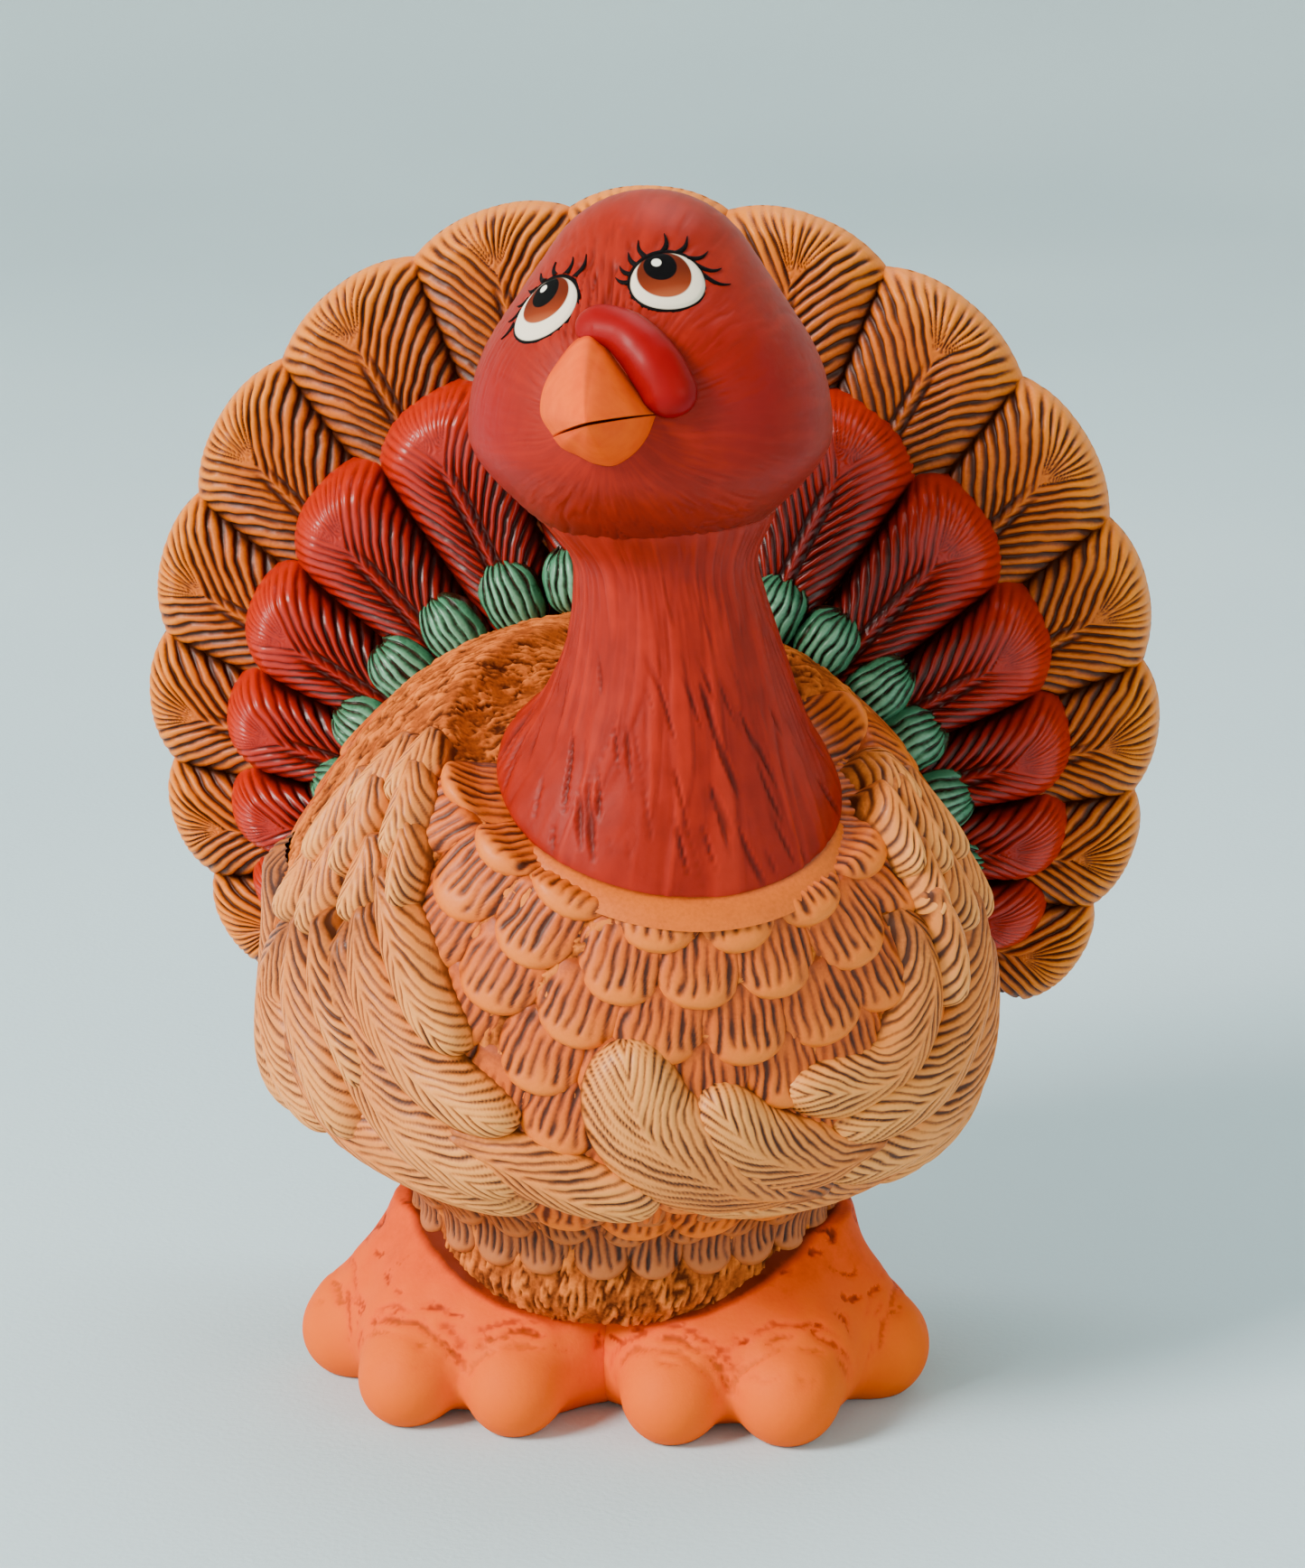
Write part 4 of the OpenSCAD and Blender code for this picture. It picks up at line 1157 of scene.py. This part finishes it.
# Toes of each foot, outermost first: middle of the ball, with x away from the other foot, and its radius.
TOES = {1: [((59.0, -12.0, 9.6), 11.2), ((41.8, -43.0, 9.8), 11.4), ((16.2, -45.4, 9.2), 10.8)],
        -1: [((61.5, -15.0, 9.2), 10.8), ((43.6, -42.6, 9.2), 10.8), ((19.0, -45.4, 8.8), 10.4)]}


def make_foot(name, side, orange):
    """A broad foot with three plump toes, a flared cuff under the skirt and creased skin."""
    step = 0.85       # edge of the sampled cells
    low = np.array([-2.0 if side > 0 else -79.0, -62.0, -3.0])
    size = np.array([81.0, 98.0, 46.0])
    axes = [low[k] + step * np.arange(int(size[k] / step)) for k in range(3)]
    p = np.stack(np.meshgrid(*axes, indexing="ij"), -1)
    q = p * (side, 1, 1)
    field = join(blob(q, (33, -14, 14), (34, 14, 12), 20, 15), blob(q, (27, -12, 30), (29, 2, 38), 21, 23), 9)
    field = join(field, blob(q, (12, -26, 14), (10, -14, 24), 15, 15), 7)
    field = join(field, blob(q, (18, -30, 14), (42, -28, 14), 15, 15.5), 8)
    field = join(field, blob(q, (43, -8, 28), (57, -12, 12), 13, 12.5), 8)
    field = join(field, blob(q, (0, -24, 10), (0, -10, 15), 10, 14), 6)
    for (x, y, z), r in TOES[side]:
        stem = (24 + x * 0.26, -17 + y * 0.2, 18)
        field = join(field, blob(q, stem, (x * 0.95 + 1, y * 0.92, z + 1.5), 15.5, r * 0.97), 6)
        field = join(field, np.linalg.norm((q - (x, y, z)) * (1, 1, 1.04), axis=-1) - r, 3.5)
    skin = noise(q / 6.0, 62)
    folds = noise(q * (0.045, 0.06, 0.15) + 3.1 * side + 0.22 * skin[..., None], 61)
    crease = 0.8 * np.exp(-(folds / 0.07) ** 2) * smooth(skin, -0.25, 0.25) * smooth(q[..., 2], 13, 20)
    for k, ((x, y, z), r) in enumerate(TOES[side]):
        away = q - (x, y, z)
        back = unit(np.array([30.0, -12.0, 20.0]) - (x, y, z))
        depth = away @ back
        off = np.linalg.norm(away - depth[..., None] * back, axis=-1)
        for n, (at, strong) in enumerate(((5.0, 0.8), (8.2, 1.0), (11.6, 0.8))):
            line = np.exp(-((depth - at - 1.1 * skin + 0.02 * off ** 2) / 0.8) ** 2)
            window = smooth(noise(away / 8 + 3 * n + k + side, 63), -0.3, 0.15) * smooth(away[..., 2], -1, 5)
            crease = np.maximum(crease, line * window * strong * smooth(off, 20, 11))
    solid = field + 0.75 * crease + 0.25 * skin * smooth(q[..., 2], 10, 22)
    sole_z, cuff_z, inner_x = 0.02, 40.0, -0.4
    for cap in (sole_z - q[..., 2], q[..., 2] - cuff_z, inner_x - q[..., 0]):
        solid = np.maximum(solid, cap)
    verts, faces = net(solid, low, step)
    verts[:, 2] = np.maximum(verts[:, 2], sole_z)
    cell = np.clip(np.round((verts - low) / step).astype(int), 0, np.array(solid.shape) - 1)
    beside_body = np.hypot(verts[:, 0], verts[:, 1]) - np.interp(verts[:, 2], HEIGHT, RADIUS)
    # Painted shadow: a dark band round the top of each foot, where it tucks in under the body.
    stain_and_shade = 0.9 * smooth(beside_body, 3.4, 0.8) * smooth(verts[:, 2], 20, 27)
    shade = np.maximum(crease[tuple(cell.T)], stain_and_shade)
    own = verts * (side, 1, 1)
    near = np.min([np.linalg.norm(own - middle, axis=-1) - r for middle, r in TOES[side]], axis=0)
    ankle = smooth(verts[:, 2], 22, 36) * 0.22
    values = {"paint": np.clip(0.9 - 0.8 * shade - ankle, 0, 1), "tip": smooth(near, 5, 0) * 0.9}
    obj = make_mesh(name + "_skin", verts, faces, values)
    finish_piece(obj, orange, "foot_orange", name)


def make_feet():
    """Both feet in bright orange, redder towards the ankle and brown in the creases."""
    paint = Paint("foot_paint", 0.6, 0.0, 0.08)
    level = paint.clouded(paint.value("paint"), 6.0, 0.35)
    level = paint.clouded(level, 0.9, 0.12)
    colour = paint.ramp(level, (0.05, srgb(98, 26, 2)), (0.95, srgb(240, 92, 0)), (0.45, srgb(192, 56, 0)),
                        (0.72, srgb(234, 79, 0)))
    colour = paint.tinted(colour, "tip", 0.7, srgb(236, 99, 0))
    orange = paint.finish(colour, 0.08, 1.1)
    make_foot("foot_left", 1, orange)
    make_foot("foot_right", -1, orange)


# ---------- stage, lights and camera

def make_stage():
    """A pale round floor that curves up into a plain wall on every side."""
    flat, bend, tall = 1.6, 1.3, 3.2         # metres: the floor's radius, the bend's radius, the wall's top
    profile = [(r, 0.0) for r in (0.02, 0.3, 0.8, 1.2, flat)]
    for a in np.linspace(0.08, math.pi / 2, 20):
        profile.append((flat + bend * math.sin(a), bend * (1 - math.cos(a))))
    profile.append((flat + bend, tall))
    around = 96
    turns = np.linspace(0, 2 * math.pi, around, endpoint=False)
    verts = [(r * math.cos(a), r * math.sin(a), z) for r, z in profile for a in turns]
    faces = [tuple(int(k) for k in f) for f in quads(len(profile), around, close=True)]
    me = bpy.data.meshes.new("backdrop")
    me.from_pydata(verts, [], [tuple(range(around))] + [f[::-1] for f in faces])
    me.polygons.foreach_set("use_smooth", [True] * len(me.polygons))
    me.update()
    floor = bpy.data.objects.new("backdrop", me)
    bpy.context.scene.collection.objects.link(floor)
    rise = me.attributes.new("rise", "FLOAT", "POINT")
    rise.data.foreach_set("value", np.clip([z / bend for _, _, z in verts], 0, 1))
    paper = Paint("backdrop_paper", 0.75)
    colour = paper.ramp(paper.grain(300.0, 1), (0.3, srgb(196, 220, 230)), (0.7, srgb(204, 227, 236)))
    # Painted light: the wall is made paler than the floor, where more light falls on it.
    colour = paper.mix(paper.value("rise"), colour, srgb(234, 240, 228))
    me.materials.append(paper.finish(colour, 0.12, 1.6))


def area_light(name, spot, size, power, colour):
    """A soft square light aimed at the bird's middle; metres and watts."""
    data = bpy.data.lights.new(name, "AREA")
    data.energy = power
    data.size = size
    data.color = colour
    lamp = bpy.data.objects.new(name, data)
    lamp.location = spot
    towards = Vector((0, 0, 0.13)) - Vector(spot)
    lamp.rotation_euler = towards.to_track_quat("-Z", "Y").to_euler()
    bpy.context.scene.collection.objects.link(lamp)


def make_lights():
    """A warm key from the bird's right, a weak cool fill, a soft top light and a dim grey surround."""
    area_light("key_light", (-1.9, -1.6, 1.87), 1.0, 148.0, (1.0, 0.96, 0.90))
    area_light("fill_light", (2.0, -1.4, 1.0), 1.0, 7.6, (0.94, 0.97, 1.0))
    area_light("top_light", (0.1, 0.5, 1.5), 0.9, 12.0, (0.97, 0.99, 1.0))
    world = bpy.data.worlds.new("studio_air")
    world.use_nodes = True
    surround = world.node_tree.nodes["Background"]
    surround.inputs["Color"].default_value = srgb(206, 216, 220)
    surround.inputs["Strength"].default_value = 0.2
    bpy.context.scene.world = world


def make_camera():
    """The viewing angle: a little from the bird's left and from above."""
    azimuth, elevation, distance = math.radians(7), math.radians(16), 1100 * MM
    target = Vector((5.8, 5.0 + SHIFT_Y, 136.0)) * MM
    flat = math.cos(elevation)
    away = Vector((math.sin(azimuth) * flat, -math.cos(azimuth) * flat, math.sin(elevation)))
    data = bpy.data.cameras.new("main_camera")
    data.lens = 112.5
    data.clip_end = 20
    camera = bpy.data.objects.new("main_camera", data)
    camera.location = target + away * distance
    camera.rotation_euler = (-away).to_track_quat("-Z", "Y").to_euler()
    bpy.context.scene.collection.objects.link(camera)
    bpy.context.scene.camera = camera


# ---------- everything in its place

tan_paint = brushed("scale_paint", srgb(74, 27, 7), srgb(168, 67, 8), srgb(208, 91, 12),
                    srgb(232, 117, 28), 0.5, 0.03)
skirt_brown = brushed("skirt_paint", srgb(54, 22, 8), srgb(128, 58, 20), srgb(166, 82, 30),
                      srgb(186, 100, 44), 0.5, 0.03)
cream_paint = brushed("wing_paint", srgb(78, 34, 10), srgb(180, 92, 31), srgb(226, 127, 48),
                      srgb(245, 158, 76), 0.48, 0.05)
head_paint = red_paint()

make_camera()
make_lights()
make_stage()
make_gold_and_back()
make_red_ring()
make_green_row()
make_body()
make_breast(tan_paint)
make_skirt_and_back(tan_paint, skirt_brown)
make_wing("right", RIGHT_PRIMARIES, RIGHT_COVERTS, cream_paint)
make_wing("left", LEFT_PRIMARIES, LEFT_COVERTS, cream_paint)
make_neck(head_paint)
make_head(head_paint)
make_beak()
make_snood()
make_eyes()
make_feet()
